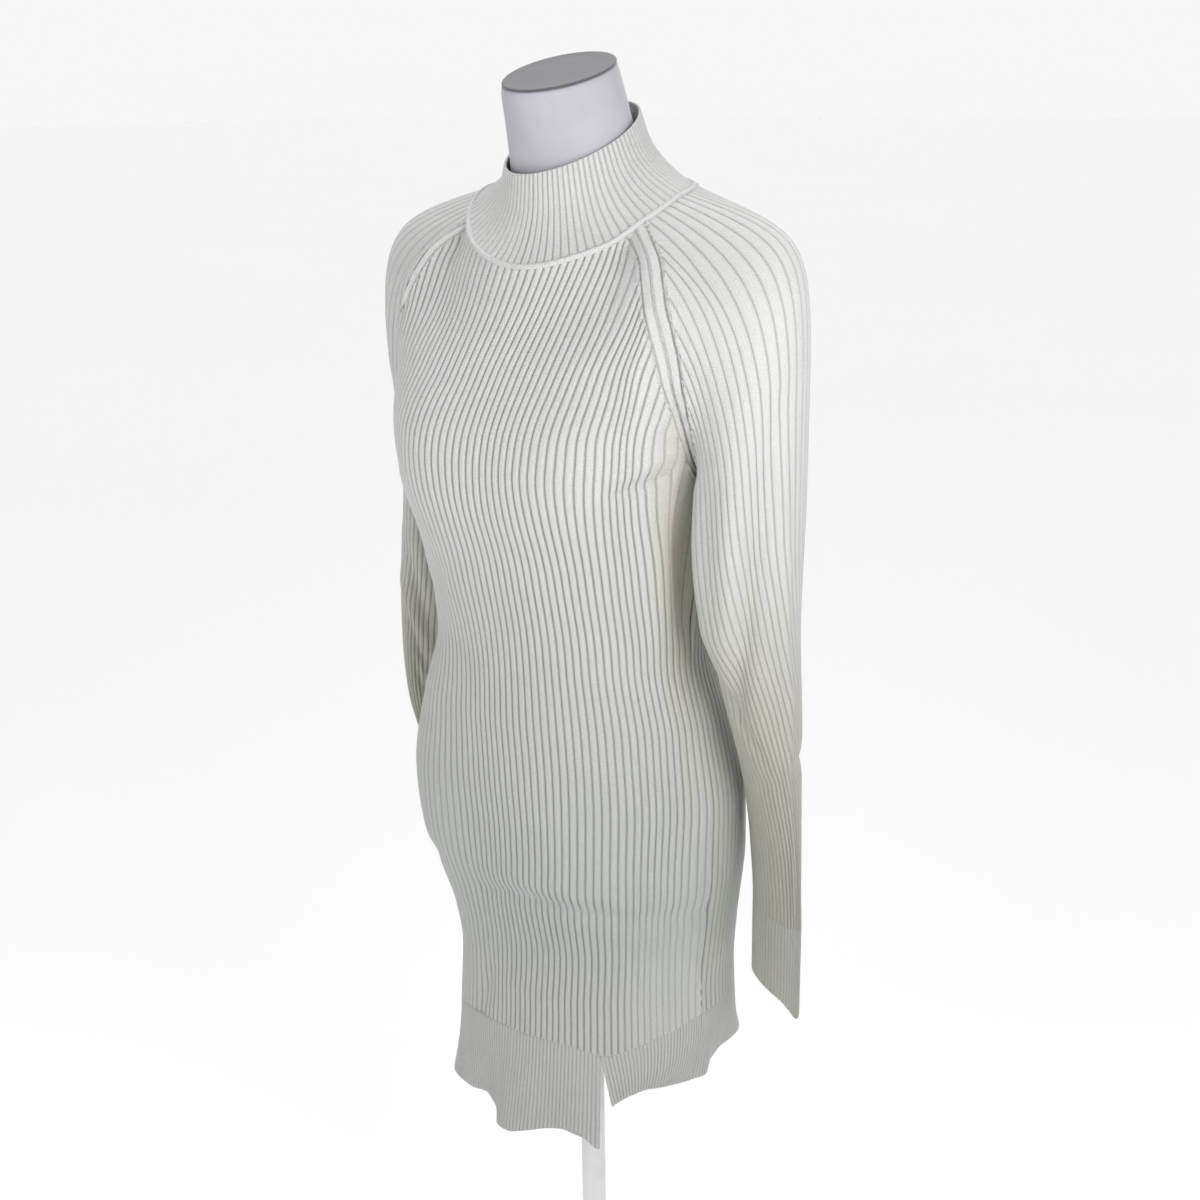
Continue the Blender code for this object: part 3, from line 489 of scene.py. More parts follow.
def sleeve_point(share, down, wearer):
    """Points of a sleeve: shares round it, down from the upper edge to the cuff."""
    share, down = np.broadcast_arrays(share, down)
    z = SLEEVE_RING + (CUFF_TOP - SLEEVE_RING) * np.clip((down - CAP_SHARE) / (1 - CAP_SHARE), 0, 1)
    tube = sleeve_section(z, share, wearer)
    start = sleeve_start(share)
    end = sleeve_section(np.full(share.shape, SLEEVE_RING), share, wearer)
    top = 0.5 - 0.5 * np.cos(2 * np.pi * share)
    pull, weight, slope = (low + (SHOULDER[wearer][k] - low) * top for k, low in LOWER_CAP.items())
    across = end - start
    across[..., 2] = 0.0
    length = np.linalg.norm(across, axis=-1)
    corner = vectors(end[..., 0], end[..., 1],
                     np.maximum(start[..., 2] - slope * length, end[..., 2]))
    corner = corner + across / length[..., None] * (OVERHANG[wearer] * top)[..., None]
    one = start + (corner - start) * pull[..., None]
    two = end + (corner - end) * pull[..., None]
    t = np.clip(down / CAP_SHARE, 0, 1)
    shares = ((1 - t) ** 3, weight * 3 * t * (1 - t) ** 2, weight * 3 * t**2 * (1 - t), t**3)
    cap = sum(p * w[..., None] for p, w in zip((start, one, two, end), shares))
    cap = cap / sum(shares)[..., None]
    return np.where((down >= CAP_SHARE)[..., None], tube, cap)


def cuff_point(share, down, wearer):
    z = CUFF_TOP + (CUFF_BOTTOM - CUFF_TOP) * down
    share, z, down = np.broadcast_arrays(share, z, down)
    point = sleeve_section(z, share, wearer)
    x, y, along, _, direction = lookup(SLEEVES[wearer], z)
    d = np.radians(direction)
    reach = (point[..., 0] - x) * np.cos(d) + (point[..., 1] - y) * np.sin(d)
    point[..., 2] -= CUFF_TIP * np.maximum(reach / along, 0.0) ** 5 * down
    return point


def collar_point(angle, up):
    angle, up = np.broadcast_arrays(angle, up)
    a = np.radians(angle)
    low = neck_point(angle)[..., 2]
    high = COLLAR_TOP - COLLAR_TILT * np.cos(a) + COLLAR_LEAN * np.sin(a)
    return half_ovals(angle, *lookup(COLLAR, up), low + (high - low) * up)


def hem_point(angle, down, edge):
    angle, down = np.broadcast_arrays(angle, down)
    high = lookup(HEM_JOIN, turn_between(angle, 0.0))[0]
    low, out = lookup(edge, angle)
    z = high + (low - high) * down
    point = body(angle, z)
    away = unit(point - vectors(0.0 * z, lookup(BODY, z)[3], z))
    return point + away * (out * down**HEM_CURVE)[..., None]


# ---- relief of the knit
def rib(phase, pitch, depth, groove, crown):
    """Height of ribs below their crests: phase counts ribs, with a groove at each whole one."""
    part = phase % 1.0
    near = np.minimum(part, 1.0 - part)
    return -depth * bell(near * pitch, groove) - crown * np.abs(2 * near - 1) ** 3


def seam_line(table, side):
    """A raglan seam as a line of points, carried on a little above the neck seam."""
    line = seam_point(table, np.linspace(0.0, 1.0, 261), side)
    lead = unit(line[0] - line[6])
    return np.concatenate([[line[0] + lead * d for d in np.arange(2.0, 0.0, -0.1)], line])


def seam_distance(points, lines, rows):
    """Distance to the nearest of some lines, and how far along it that is.

    Only the upper rows of the grid are measured, and the others count as far."""
    spots = np.concatenate(lines)
    lengths = np.concatenate([lengths_down(line) for line in lines])
    distance, along = np.full(points.shape[:2], FAR), np.zeros(points.shape[:2])
    for r in range(rows):
        gaps = np.linalg.norm(points[r][:, None] - spots[None], axis=2)
        distance[r], along[r] = gaps.min(1), lengths[gaps.argmin(1)]
    return distance, along


def banded(ribs, s, along, marks, slim=1.0):
    """Ribs that end beside a raglan seam, its flat band and the grooves on each side of it."""
    share, low, high = BAND_TAPER
    s = s / ((1.0 - share * step(along, low, high)) * slim)
    arch = np.clip(1 - ((s - BAND["middle"]) / BAND["half_width"]) ** 2, 0.0, 1.0)
    band = BAND["height"] * np.sqrt(arch)
    grooves = sum(depth * bell(s - place, width) for place, width, depth in BAND_GROOVES)
    bumps = np.maximum(np.cos(2 * np.pi * along / marks), 0.0) ** 1.5
    bumps = MARKS["height"] * bumps * bell(s - MARKS["place"], MARKS["width"])
    relief = ribs * step(s, BAND["ribs_from"], BAND["ribs_full"]) + band - grooves + bumps
    return relief * step(s, 0.0, 0.07)


def seam_shade(relief, s):
    """Relief to colour by, with the raglan seam itself given a groove's painted shade."""
    return np.minimum(relief, -SEAM_SHADE_DIP["depth"] * bell(s, SEAM_SHADE_DIP["width"]))


def rib_columns(count, offsets):
    """Places of the mesh's columns, counted in ribs."""
    return (np.arange(count)[:, None] + np.array(offsets)[None]).ravel()


def rib_spacing(points, phase):
    """Distance between neighbouring ribs, square to them."""
    down = np.gradient(points, axis=0)
    over = np.gradient(points, axis=1) / np.gradient(phase, axis=1)[..., None]
    return (np.linalg.norm(np.cross(over, down), axis=-1)
            / np.maximum(np.linalg.norm(down, axis=-1), 1e-6))


def waves(*rows):
    """A sum of sines: each row is an amplitude, a phase and pairs of a field and its rate."""
    total = 0.0
    for size, phase, *pairs in rows:
        angle = phase
        for field, rate in zip(pairs[::2], pairs[1::2]):
            angle = angle + field * rate
        total = total + size * np.sin(angle)
    return total


def creases(turn, z, table, scale):
    """Soft troughs and ridges along short lines, each from a turn and z to another.

    The scale is the length of cloth in one unit of turn."""
    u = turn * scale
    total = np.zeros(np.broadcast(u, z).shape)
    for turn0, z0, turn1, z1, width, height in table:
        u0, du, dz = turn0 * scale, (turn1 - turn0) * scale, z1 - z0
        length = math.hypot(du, dz)
        along = ((u - u0) * du + (z - z0) * dz) / length
        off = ((u - u0) * dz - (z - z0) * du) / length
        inside = np.clip(along, 0.0, length)
        beyond = along - inside
        strength = 0.35 + 0.65 * np.sin(np.pi * (0.12 + 0.76 * inside / length))
        total += height * np.exp(-(off**2 + 0.5 * beyond**2) / width**2) * strength
    return total


# ---- meshes
def outward(points, closed):
    """Unit normals of a grid: rows go down, and columns toward the wearer's left of the front."""
    down = np.gradient(points, axis=0)
    if closed:
        right = np.roll(points, -1, 1) - np.roll(points, 1, 1)
    else:
        right = np.gradient(points, axis=1)
    cross = np.cross(down, right)
    return cross / np.maximum(np.linalg.norm(cross, axis=-1, keepdims=True), 1e-9)


def grid_faces(height, width, closed, flip=False):
    r, c = np.meshgrid(np.arange(height - 1), np.arange(width if closed else width - 1),
                       indexing="ij")
    a, b = r * width + c, r * width + (c + 1) % width
    quads = np.stack([a, a + width, b + width, b], -1).reshape(-1, 4)
    return quads[:, ::-1] if flip else quads


def ring_faces(height, width, closed):
    """Faces of a grid whose last row joins its first."""
    return grid_faces(height + 1, width, closed) % (height * width)


def turned(faces):
    """The same faces seen from behind, each from the same corner."""
    return np.roll(faces[:, ::-1], 1, axis=1)


def put(name, data):
    obj = bpy.data.objects.new(name, data)
    bpy.context.scene.collection.objects.link(obj)
    return obj


def make(name, points, groups, material, attributes=None):
    """A smooth piece from points in centimetres and groups of faces."""
    mesh = bpy.data.meshes.new(name)
    faces = [face for group in groups for face in group.tolist()]
    mesh.from_pydata((points.reshape(-1, 3) * CM).tolist(), [], faces, shade_flat=False)
    mesh.update()
    for key, values in (attributes or {}).items():
        kind, field = ("FLOAT_VECTOR", "vector") if values.ndim == 2 else ("FLOAT", "value")
        made = mesh.attributes.new(key, kind, "POINT")
        made.data.foreach_set(field, np.ascontiguousarray(values, np.float32).ravel())
    mesh.materials.append(material)
    return put(name, mesh)


def knit_attributes(relief, wale, course, painted_shade):
    """Depth in the grooves from 0 to 1, which sets their painted shade, stitch places, and how much
    painted warm shade the yarn gets.
    """
    return {"groove": np.clip(-relief / GROOVE_SHADE_DEPTH, 0.0, 1.0).ravel(),
            "stitch": vectors(wale, course, 0.0 * wale).reshape(-1, 3),
            "painted_shade": np.broadcast_to(painted_shade, relief.shape).ravel()}


def piece(obj, node):
    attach(obj, "root")
    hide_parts(node)


def dress_piece(obj, node):
    piece(obj, node)


def shell(name, points, phase, pitch, profile, course, painted_shade, closed=True, side=1.0):
    """A closed wall: ribbed outside, softer ribs inside, and rounded free edges.

    It is made on the wearer's left, and a side of -1 mirrors it to the right."""
    phase = np.broadcast_to(phase, points.shape[:2])
    relief = rib(phase, pitch, **profile)
    normal = outward(points, closed)
    outer = points + normal * relief[..., None]
    inner = points - normal * (WALL + relief * INNER_RELIEF)[..., None]
    edge = points - normal * (WALL / 2)

    def rim(row, beyond):
        return (edge[row] + unit(points[row] - points[beyond]) * EDGE_ROUNDING)[None]

    loop = np.concatenate([rim(0, 1), outer, rim(-1, -2), inner[::-1]])
    height, width = relief.shape
    count = len(loop)
    groups = [ring_faces(count, width, closed)]
    if not closed:
        rows = np.arange(1, height)
        walls = np.stack([rows, count - rows, count - 1 - rows, rows + 1], -1)
        tips = np.array([[0, count - 1, 1], [height + 1, height, height + 2]])
        for faces in (walls, tips):
            groups += [faces * width, turned(faces) * width + width - 1]
    if side < 0:
        groups = [faces[:, ::-1] for faces in groups]

    def stack(values):
        values = np.broadcast_to(values, relief.shape)
        return np.concatenate([values[:1], values, values[-1:], values[::-1]])

    shade = stack(relief)
    shade[[0, height + 1]] = 0.0
    return make(name, loop * (side, 1.0, 1.0), groups, knit,
                knit_attributes(shade, stack(phase * 2.0), stack(course), stack(painted_shade)))


# ---- materials
class Nodes:
    """Short names for making the shader nodes of a material or of the world."""

    def __init__(self, owner, shader="Principled BSDF"):
        owner.use_nodes = True
        self.owner = owner
        self.tree = owner.node_tree
        self.shader = self.tree.nodes[shader]

    def feed(self, socket, value):
        if isinstance(value, bpy.types.NodeSocket):
            self.tree.links.new(value, socket)
        else:
            socket.default_value = value

    def add(self, kind, inputs=(), **settings):
        node = self.tree.nodes.new("ShaderNode" + kind)
        for key, value in settings.items():
            setattr(node, key, value)
        for key, value in dict(inputs).items():
            self.feed(node.inputs[key], value)
        return node

    def math(self, operation, a, b=0.0):
        return self.add("Math", {0: a, 1: b}, operation=operation).outputs[0]

    def times(self, a, b):
        return self.math("MULTIPLY", a, b)

    def mix(self, factor, a, b, blend="MIX"):
        inputs = {0: factor, 6: a, 7: b}
        return self.add("Mix", inputs, data_type="RGBA", blend_type=blend).outputs[2]

    def here(self):
        return self.add("TexCoord").outputs["Object"]

    def noise(self, scale, detail, rough, vector=None):
        vector = self.here() if vector is None else vector
        inputs = {"Scale": scale, "Detail": detail, "Roughness": rough, "Vector": vector}
        return self.add("TexNoise", inputs).outputs["Fac"]

    def field(self, name, output="Fac"):
        return self.add("Attribute", attribute_name=name).outputs[output]

    def ramp(self, factor, low, high):
        return self.add("MapRange", {"Value": factor, "From Min": low, "From Max": high}).outputs[0]

    def bumps(self, *rows):
        """A normal from rows of a height, its distance and its strength."""
        normal = {}
        for height, distance, strength in rows:
            inputs = {"Height": height, "Distance": distance, "Strength": strength}
            normal = {"Normal": self.add("Bump", {**inputs, **normal}).outputs[0]}
        return normal["Normal"]

    def set(self, **values):
        for key, value in values.items():
            self.feed(self.shader.inputs[key.replace("_", " ").title().replace("Ior", "IOR")], value)
        return self.owner


YARN = {
    "crest": (0.625, 0.62, 0.62, 1.0),
    # low: the grey-green painted shade the crests take low on the dress
    "low": (0.46, 0.485, 0.46, 1.0),
    # groove: painted shade in the grooves and between stitches
    "groove": (0.36, 0.365, 0.35, 1.0),
    # warm_shade: the colour of the painted warm shade
    "warm_shade": (0.800, 0.744, 0.590, 1.0),
    "grey": (0.66, 0.675, 0.65, 1.0),
    "fuzz": (0.92, 0.92, 0.90, 1.0),
}
CREST_SHADE_FADE = (1.15, 0.70)  # heights in metres between which the crests take the low tone, a painted shade darker towards the bottom
CREST_SHADE_EASE = (0.70, 0.60)  # and those between which they lose half of that painted shade again
STITCH_LENGTH = 0.21
STITCH_SLANT = 4.4


def knit_material():
    """Wool-like yarn: stitches in columns along the ribs and fuzz, with painted shade in the grooves,
    between stitches and on the crests towards the bottom, and a warm painted shade set point by
    point.
    """
    n = Nodes(bpy.data.materials.new("knit_yarn"))
    place = n.add("SeparateXYZ", {0: n.field("stitch", "Vector")})
    wale, course = place.outputs[0], place.outputs[1]
    slant = n.times(n.math("PINGPONG", wale, 0.5), STITCH_SLANT)
    beat = n.math("SINE", n.math("ADD", n.times(course, 2 * math.pi / STITCH_LENGTH), slant))
    column = n.math("ABSOLUTE", n.math("SINE", n.times(wale, math.pi)))
    stitch = n.times(n.math("ADD", n.times(beat, 0.5), 0.5), column)
    fuzz = n.noise(900.0, 4.0, 0.7)
    lumps = n.noise(160.0, 3.0, 0.6)
    patches = n.noise(7.0, 3.0, 0.5)
    height = n.add("SeparateXYZ", {0: n.here()}).outputs[2]
    # Painted shade: the crests darken towards the bottom of the dress and ease off a little near the
    # hem.
    lift = n.math("SUBTRACT", 1.0, n.times(n.ramp(height, *CREST_SHADE_EASE), 0.5))
    crest = n.mix(n.times(n.ramp(height, *CREST_SHADE_FADE), lift), YARN["crest"], YARN["low"])
    colour = n.mix(n.ramp(n.field("groove"), 0.05, 1.0), crest, YARN["groove"])
    for factor, share, tone, blend in (
            (n.field("painted_shade"), 0.90, "warm_shade", "MULTIPLY"),
            (n.ramp(patches, 0.35, 0.7), 0.10, "grey", "MULTIPLY"),
            # the low places between stitches get a little of the groove's painted shade
            (n.ramp(stitch, 0.7, 0.0), 0.10, "groove", "MIX"),
            (n.ramp(fuzz, 0.35, 0.7), 0.24, "fuzz", "MIX")):
        colour = n.mix(n.times(factor, share), colour, YARN[tone], blend)
    normal = n.bumps((stitch, 0.0009, 0.55), (lumps, 0.0012, 0.50), (fuzz, 0.0008, 0.80))
    return n.set(base_color=colour, normal=normal, roughness=0.92, sheen_weight=0.25,
                 sheen_roughness=0.45, specular_ior_level=0.25)


def jersey_material(name, light, dark):
    """Fine smooth cover cloth with faint marks."""
    n = Nodes(bpy.data.materials.new(name))
    cloudy = n.noise(11.0, 4.0, 0.6)
    weave = n.noise(1400.0, 2.0, 0.6)
    flat = n.add("Mapping", {"Vector": n.here(), "Scale": (60.0, 60.0, 9.0)}).outputs[0]
    streaks = n.noise(1.0, 4.0, 0.6, flat)
    colour = n.mix(n.ramp(cloudy, 0.35, 0.7), light, dark)
    colour = n.mix(n.times(n.ramp(streaks, 0.45, 0.75), 0.18), colour, dark)
    normal = n.bumps((streaks, 0.0012, 0.25), (weave, 0.0002, 0.5))
    return n.set(base_color=colour, normal=normal, roughness=0.85, sheen_weight=0.3,
                 sheen_roughness=0.5, specular_ior_level=0.3)


def paint_material():
    n = Nodes(bpy.data.materials.new("satin_paint"))
    peel = n.noise(420.0, 2.0, 0.5)
    wear = n.noise(24.0, 5.0, 0.65)
    colour = n.mix(n.ramp(wear, 0.55, 0.8), (0.78, 0.78, 0.77, 1.0), (0.66, 0.66, 0.65, 1.0))
    rough = n.add("MapRange", {"Value": wear, "To Min": 0.32, "To Max": 0.5}).outputs[0]
    return n.set(base_color=colour, normal=n.bumps((peel, 0.0004, 0.2)), roughness=rough,
                 coat_weight=0.2)


def floor_material():
    n = Nodes(bpy.data.materials.new("studio_floor"))
    soft = n.noise(0.6, 2.0, 0.5)
    colour = n.mix(soft, (0.96, 0.96, 0.96, 1.0), (0.94, 0.94, 0.94, 1.0))
    return n.set(base_color=colour, roughness=0.9, specular_ior_level=0.1)


knit = knit_material()
cover = jersey_material("form_jersey", (0.475, 0.462, 0.505, 1.0), (0.395, 0.386, 0.430, 1.0))
cap_cloth = jersey_material("cap_jersey", (0.104, 0.106, 0.117, 1.0), (0.088, 0.090, 0.100, 1.0))
paint = paint_material()

# ---- body panels
FRONT_CREASES = (
    # turn, z, turn, z, width, height
    (79, 114, 82, 101, 1.7, -1.15),  # tucked in beside the sleeve
    (64, 109, 66, 102, 1.6, 0.35),
    (47, 113.3, 66, 114.6, 0.6, -0.42),  # under the bust, from the underarm
    (52, 115.2, 70, 116.8, 0.8, 0.3),
    (56, 118.6, 70, 117.6, 0.5, -0.22),
    (-12, 72.9, 6, 73.6, 0.8, -0.3),  # under the belly
    (6, 73.6, 33, 72.8, 0.9, -0.42),
    (33, 72.8, 80, 72, 1.2, -0.32),
    (-4, 75.9, 34, 75.3, 1.3, 0.24),
    (98, 78, 96, 70, 1.1, -0.5),  # down the wearer's left side
    (95, 69.5, 82, 66, 1, -0.45),
    (86, 84.2, 83, 83.2, 0.4, 0.25),  # puckers beside the side seam
    (74, 63.4, 78, 62.7, 0.35, 0.28),
    (74.5, 62, 78.5, 61.3, 0.35, 0.28),
    (75, 60.6, 79, 60, 0.35, 0.28),
    (-79, 114, -82, 102, 1.7, -0.8),  # tucked in beside the other sleeve
    (-47, 113.8, -64, 115.2, 0.6, -0.35),
    (-30, 104, -52, 101, 1, -0.2),
    (-60, 72, -34, 74.5, 1.1, -0.25),
    (-20, 62.5, -27, 57.5, 1, -0.35),  # above the hem's wave
)
BACK_CREASES = (
    (200, 99.5, 160, 97.8, 0.9, -0.3),  # across the hollow of the back
    (152, 95.8, 188, 94.6, 0.8, -0.24),
    (214, 103, 186, 101.6, 0.7, -0.2),
    (120, 112, 136, 108, 0.8, -0.35),  # down from the underarms
    (240, 112.5, 222, 107.6, 0.8, -0.32),
    (196, 70.5, 160, 71.6, 1.1, -0.26),  # under the seat
    (228, 69, 204, 67, 0.9, -0.22),
    (108, 84, 104, 83, 0.4, 0.25),
)


# Where the front's ribs are stretched flat
ARM_STRETCH = (0.6, 0.90, 0.97, 106.0, 8.0)  # share, from and to across, height, its spread
HIP_STRETCH = (0.5, 0.50, 0.75, 82.0, 68.0)  # share, from and to across, from and to in z


def panel(name, back, table):
    """The front or the back: its ribs, its bands beside the raglan seams and its creases."""
    place = np.append(rib_columns(PANEL_RIBS, WIDE_OFFSETS), PANEL_RIBS) * (2.0 / PANEL_RIBS) - 1.0
    across = -place if back else place
    top = rib_tops(across, back)
    low = np.full(across.shape, KNIT_LOW)
    foot = lookup(HEM_JOIN, turn_between(knit_turn(across, low, back), 0.0))[0] + SEAM_GAP / 2
    down = np.linspace(0.0, 1.0, PANEL_ROWS)[:, None]
    z = np.concatenate([top[:, 2] - NEAR_ROWS[:, None],
                        top[:, 2] - SEAM_ZONE + (foot - top[:, 2] + SEAM_ZONE) * down])
    fade = np.clip((top[:, 2] - z) / RAGLAN_FADE, 0.0, 1.0)
    keep = (1 - fade) ** 2 * (1 + 2 * fade)
    points = knit_point(across, z, back)
    points = points + (top - knit_point(across, top[:, 2], back)) * keep[..., None]

    phase = np.broadcast_to((place + 1) / 2 * PANEL_RIBS, z.shape)
    relief = rib(phase, rib_spacing(points, phase), **WIDE_RIB)
    if not back:
        share, low, high, middle, spread = ARM_STRETCH
        relief = relief * (1 - share * step(place, low, high) * bell(z - middle, spread))
        share, low, high, start, full = HIP_STRETCH
        relief = relief * (1 - share * step(place, low, high) * step(-z, -start, -full))
    lines = [seam_line(BACK_RAGLAN if back else FRONT_RAGLAN, side) for side in (1.0, -1.0)]
    s, along = seam_distance(points, lines, len(NEAR_ROWS) + PANEL_SEAM_ROWS)
    relief = banded(relief, s, along, PANEL_MARKS, np.where(across < 0, RIGHT_BAND, 1.0))
    girth = np.linalg.norm(np.diff(points, axis=1), axis=2).sum(1).mean() / 2
    edge = (1 - np.abs(place)) * girth
    relief = relief - SIDE_DIP["depth"] * bell(edge, SIDE_DIP["width"]) * (s > FAR - 0.1)
    turn = knit_turn(np.broadcast_to(across, z.shape), z, back)
    u = turn * PANEL_SCALE
    fold = creases(turn, z, table, PANEL_SCALE) + waves(
        (0.035, 0.4, u, 0.31, z, 0.13), (0.03, 1.7, u, -0.22, z, 0.21),
        (0.02, 2.9, u, 0.83, z, 0.09))
    fold = fold * step(s, *FOLDS_FROM)
    points = points + outward(points, False) * (relief + fold)[..., None]
    # Painted warm shade: on the front beside the wearer's left sleeve, below the underarm; even over
    # the back.
    painted_shade = PAINTED_SHADE_LEVEL["back"] if back else step(place, 0.78, 0.92) * bell(z - 104.0, 14.0)
    return make(name, points, [grid_faces(*z.shape, False)], knit,
                knit_attributes(seam_shade(relief, s), phase * 4.0, z, painted_shade))


dress_piece(panel("knit_front", False, FRONT_CREASES), "front_panel")
dress_piece(panel("knit_back", True, BACK_CREASES), "back_panel")

# ---- sleeves and cuffs
SLEEVE_CREASES = {
    "left": (
        # share, z, share, z, width, height
        (0.07, 115, 0.06, 101, 1.9, 1.15),  # rolled forward beside the body
        (0.385, 120, 0.31, 108, 1.5, -0.85),  # the long slanting hollow
        (0.31, 108, 0.23, 100.8, 1.5, -1.05),
        (0.23, 100.8, 0.1, 94, 1.3, -0.75),
        (0.25, 112, 0.17, 101, 1.8, 0.45),
        (0.408, 119, 0.414, 107, 0.55, 0.2),  # the pressed fold down the outside
        (0.414, 107, 0.345, 95, 0.55, 0.24),
        (0.345, 95, 0.245, 86, 0.55, 0.24),
        (0.245, 86, 0.19, 73, 0.5, 0.2),
        (0.02, 96, 0.14, 90, 0.9, -0.35),  # across the elbow
        (0.98, 93, 0.1, 86.5, 0.9, -0.32),
        (0.9, 98, 0.99, 95.5, 0.8, -0.35),
        (0.8, 93.5, 0.93, 91, 0.8, -0.3),
        (0.88, 106, 0.97, 111, 0.9, -0.4),
        (0.68, 116, 0.74, 103, 1.2, -0.4),
        (0.6, 100, 0.66, 84, 0.9, -0.25),
    ),
    "right": (
        (0.25, 101.5, 0.12, 93.5, 0.8, -0.45),  # slanting folds inside the elbow
        (0.24, 94.5, 0.11, 88, 0.7, -0.4),
        (0.21, 106.5, 0.12, 99.5, 0.8, -0.35),
        (0.2, 90, 0.12, 84, 0.6, -0.28),
        (0.3, 99, 0.22, 95.5, 0.7, 0.3),
        (0.07, 114, 0.05, 102, 1.7, 0.55),
        (0.38, 118, 0.32, 106, 1.1, -0.35),
        (0.68, 116, 0.73, 104, 1.2, -0.4),
        (0.88, 106, 0.97, 111, 0.9, -0.4),
        (0.62, 98, 0.68, 84, 0.9, -0.28),
        (0.88, 97, 0.99, 94, 0.8, -0.35),
        (0.46, 108, 0.44, 90, 0.34, 0.3),  # the pressed fold down the outside
        (0.44, 90, 0.42, 73, 0.34, 0.28),
    ),
}
CAP_STEPS = 260  # steps down a sleeve when its lengths are measured
TUBE_STEPS = 220


def sleeve_grid(shares, wearer):
    """Points of a sleeve in rows at even lengths below its upper edge."""
    downs = np.concatenate([np.linspace(0, CAP_SHARE, CAP_STEPS),
                            np.linspace(CAP_SHARE, 1, TUBE_STEPS)[1:]])
    part = np.clip(downs / CAP_SHARE, 0.0, 1.0)[:, None]
    lean = CAP_LEAN * np.sin(2 * np.pi * shares) * 4 * part * (1 - part)
    dense = sleeve_point(shares[None] - lean, downs[:, None], wearer)
    ring = bell(downs - CAP_SHARE, 0.10)[:, None, None]  # where cap and tube meet
    dense = dense + (smooth_down(dense, 17.0, 42) - dense) * ring
    lengths = lengths_down(dense)
    far = np.linspace(0.0, 1.0, SLEEVE_ROWS)
    columns = []
    for c in range(len(shares)):
        total = lengths[-1, c] - SEAM_GAP / 2
        places = np.concatenate([NEAR_ROWS, SEAM_ZONE + (total - SEAM_ZONE) * far])
        columns.append(np.stack([np.interp(places, lengths[:, c], dense[:, c, k])
                                 for k in range(3)], -1))
    return np.stack(columns, 1)


def sleeve(wearer):
    phase = rib_columns(SLEEVE_RIBS, WIDE_OFFSETS)
    shares = phase / SLEEVE_RIBS
    points = sleeve_grid(shares, wearer)
    lines = [seam_line(table, 1.0) for table in (FRONT_RAGLAN, BACK_RAGLAN)]
    s, along = seam_distance(points, lines, len(NEAR_ROWS) + SLEEVE_SEAM_ROWS)
    phase = np.broadcast_to(phase, s.shape)
    relief = banded(rib(phase, rib_spacing(points, phase), **SLEEVE_RIB), s, along,
                    SLEEVE_MARKS, RIGHT_BAND if wearer == "right" else 1.0)
    z = points[..., 2]
    u = np.broadcast_to(shares, s.shape) * SLEEVE_SCALE
    swell = waves((0.04, 0.9, u, 0.42, z, 0.17), (0.03, 2.2, u, -0.21, z, 0.31))
    fold = creases(shares[None], z, SLEEVE_CREASES[wearer], SLEEVE_SCALE)
    fold = fold + swell * np.sin(np.pi * shares) ** 2
    fold = fold * step(s, *FOLDS_FROM) * step(z, CUFF_TOP, CUFF_TOP + 3.0)
    points = points + outward(points, True) * (relief + fold)[..., None]
    # Painted warm shade on the lower sleeve, strongest toward its front.
    warm_shade = 0.35 + 0.45 * (0.5 + 0.5 * np.cos(2 * np.pi * (shares - 0.15)))
    painted_shade = step(-z, -112.0, -88.0) * warm_shade
    obj = make("knit_sleeve_" + wearer, points * (SIDE[wearer], 1.0, 1.0),
               [grid_faces(*s.shape, True, flip=SIDE[wearer] < 0)], knit,
               knit_attributes(seam_shade(relief, s), phase * 4.0, z, painted_shade))
    dress_piece(obj, "sleeve_" + wearer)


def cuff(wearer):
    phase = rib_columns(CUFF_RIBS, FINE_OFFSETS)
    down = np.linspace(0.0, 1.0, CUFF_ROWS)[:, None]
    points = cuff_point(phase[None] / CUFF_RIBS, down, wearer)
    obj = shell("knit_cuff_" + wearer, points, phase, CUFF_PITCH, FINE_RIB, points[..., 2],
                PAINTED_SHADE_LEVEL["cuff"], side=SIDE[wearer])
    dress_piece(obj, "cuff_" + wearer)


for side_name in SIDE:
    sleeve(side_name)
    cuff(side_name)

# ---- hem band
HEM_FOLDS = (
    # turn, width in degrees, height
    (-33, 7, 0.32), (-18, 5, -0.38), (-4, 8, 0.2), (62, 9, 0.16),
    (80, 6, -0.2), (148, 12, 0.22), (203, 14, -0.24), (248, 10, 0.22),
)


def hem(name, edge, low, high, low_spread=0.0, high_spread=0.0):
    """A length of hem band between two turns, which a slit can spread at its ends."""
    ribs = int(round((high - low) / 180.0 * HEM_RIBS))
    phase = np.append(rib_columns(ribs, FINE_OFFSETS), ribs)
    down = np.linspace(0.0, 1.0, HEM_ROWS)[:, None]
    start = low + low_spread * down
    stop = high - high_spread * down
    angle = start + (stop - start) * (phase / ribs)[None]
    points = hem_point(angle, down, edge)
    sway = sum(height * bell(turn_between(angle - turn, 0.0), width)
               for turn, width, height in HEM_FOLDS) * step(down, 0.05, 0.7)
    points = points + outward(points, False) * sway[..., None]
    obj = shell("knit_" + name, points, phase, HEM_PITCH, FINE_RIB, points[..., 2],
                PAINTED_SHADE_LEVEL["hem"], closed=False)
    dress_piece(obj, name)


left_end, right_end = SIDE_SEAM[0][1], -SIDE_SEAM[0][2]
hem("hem_front_right", HEM_EDGE_RIGHT, right_end, SLIT_TURN,
    high_spread=SLIT_SPREAD["right"])
hem("hem_front_left", HEM_EDGE_LEFT, SLIT_TURN, left_end,
    low_spread=SLIT_SPREAD["left"])
hem("hem_back", HEM_EDGE_LEFT, left_end, 360.0 + right_end)


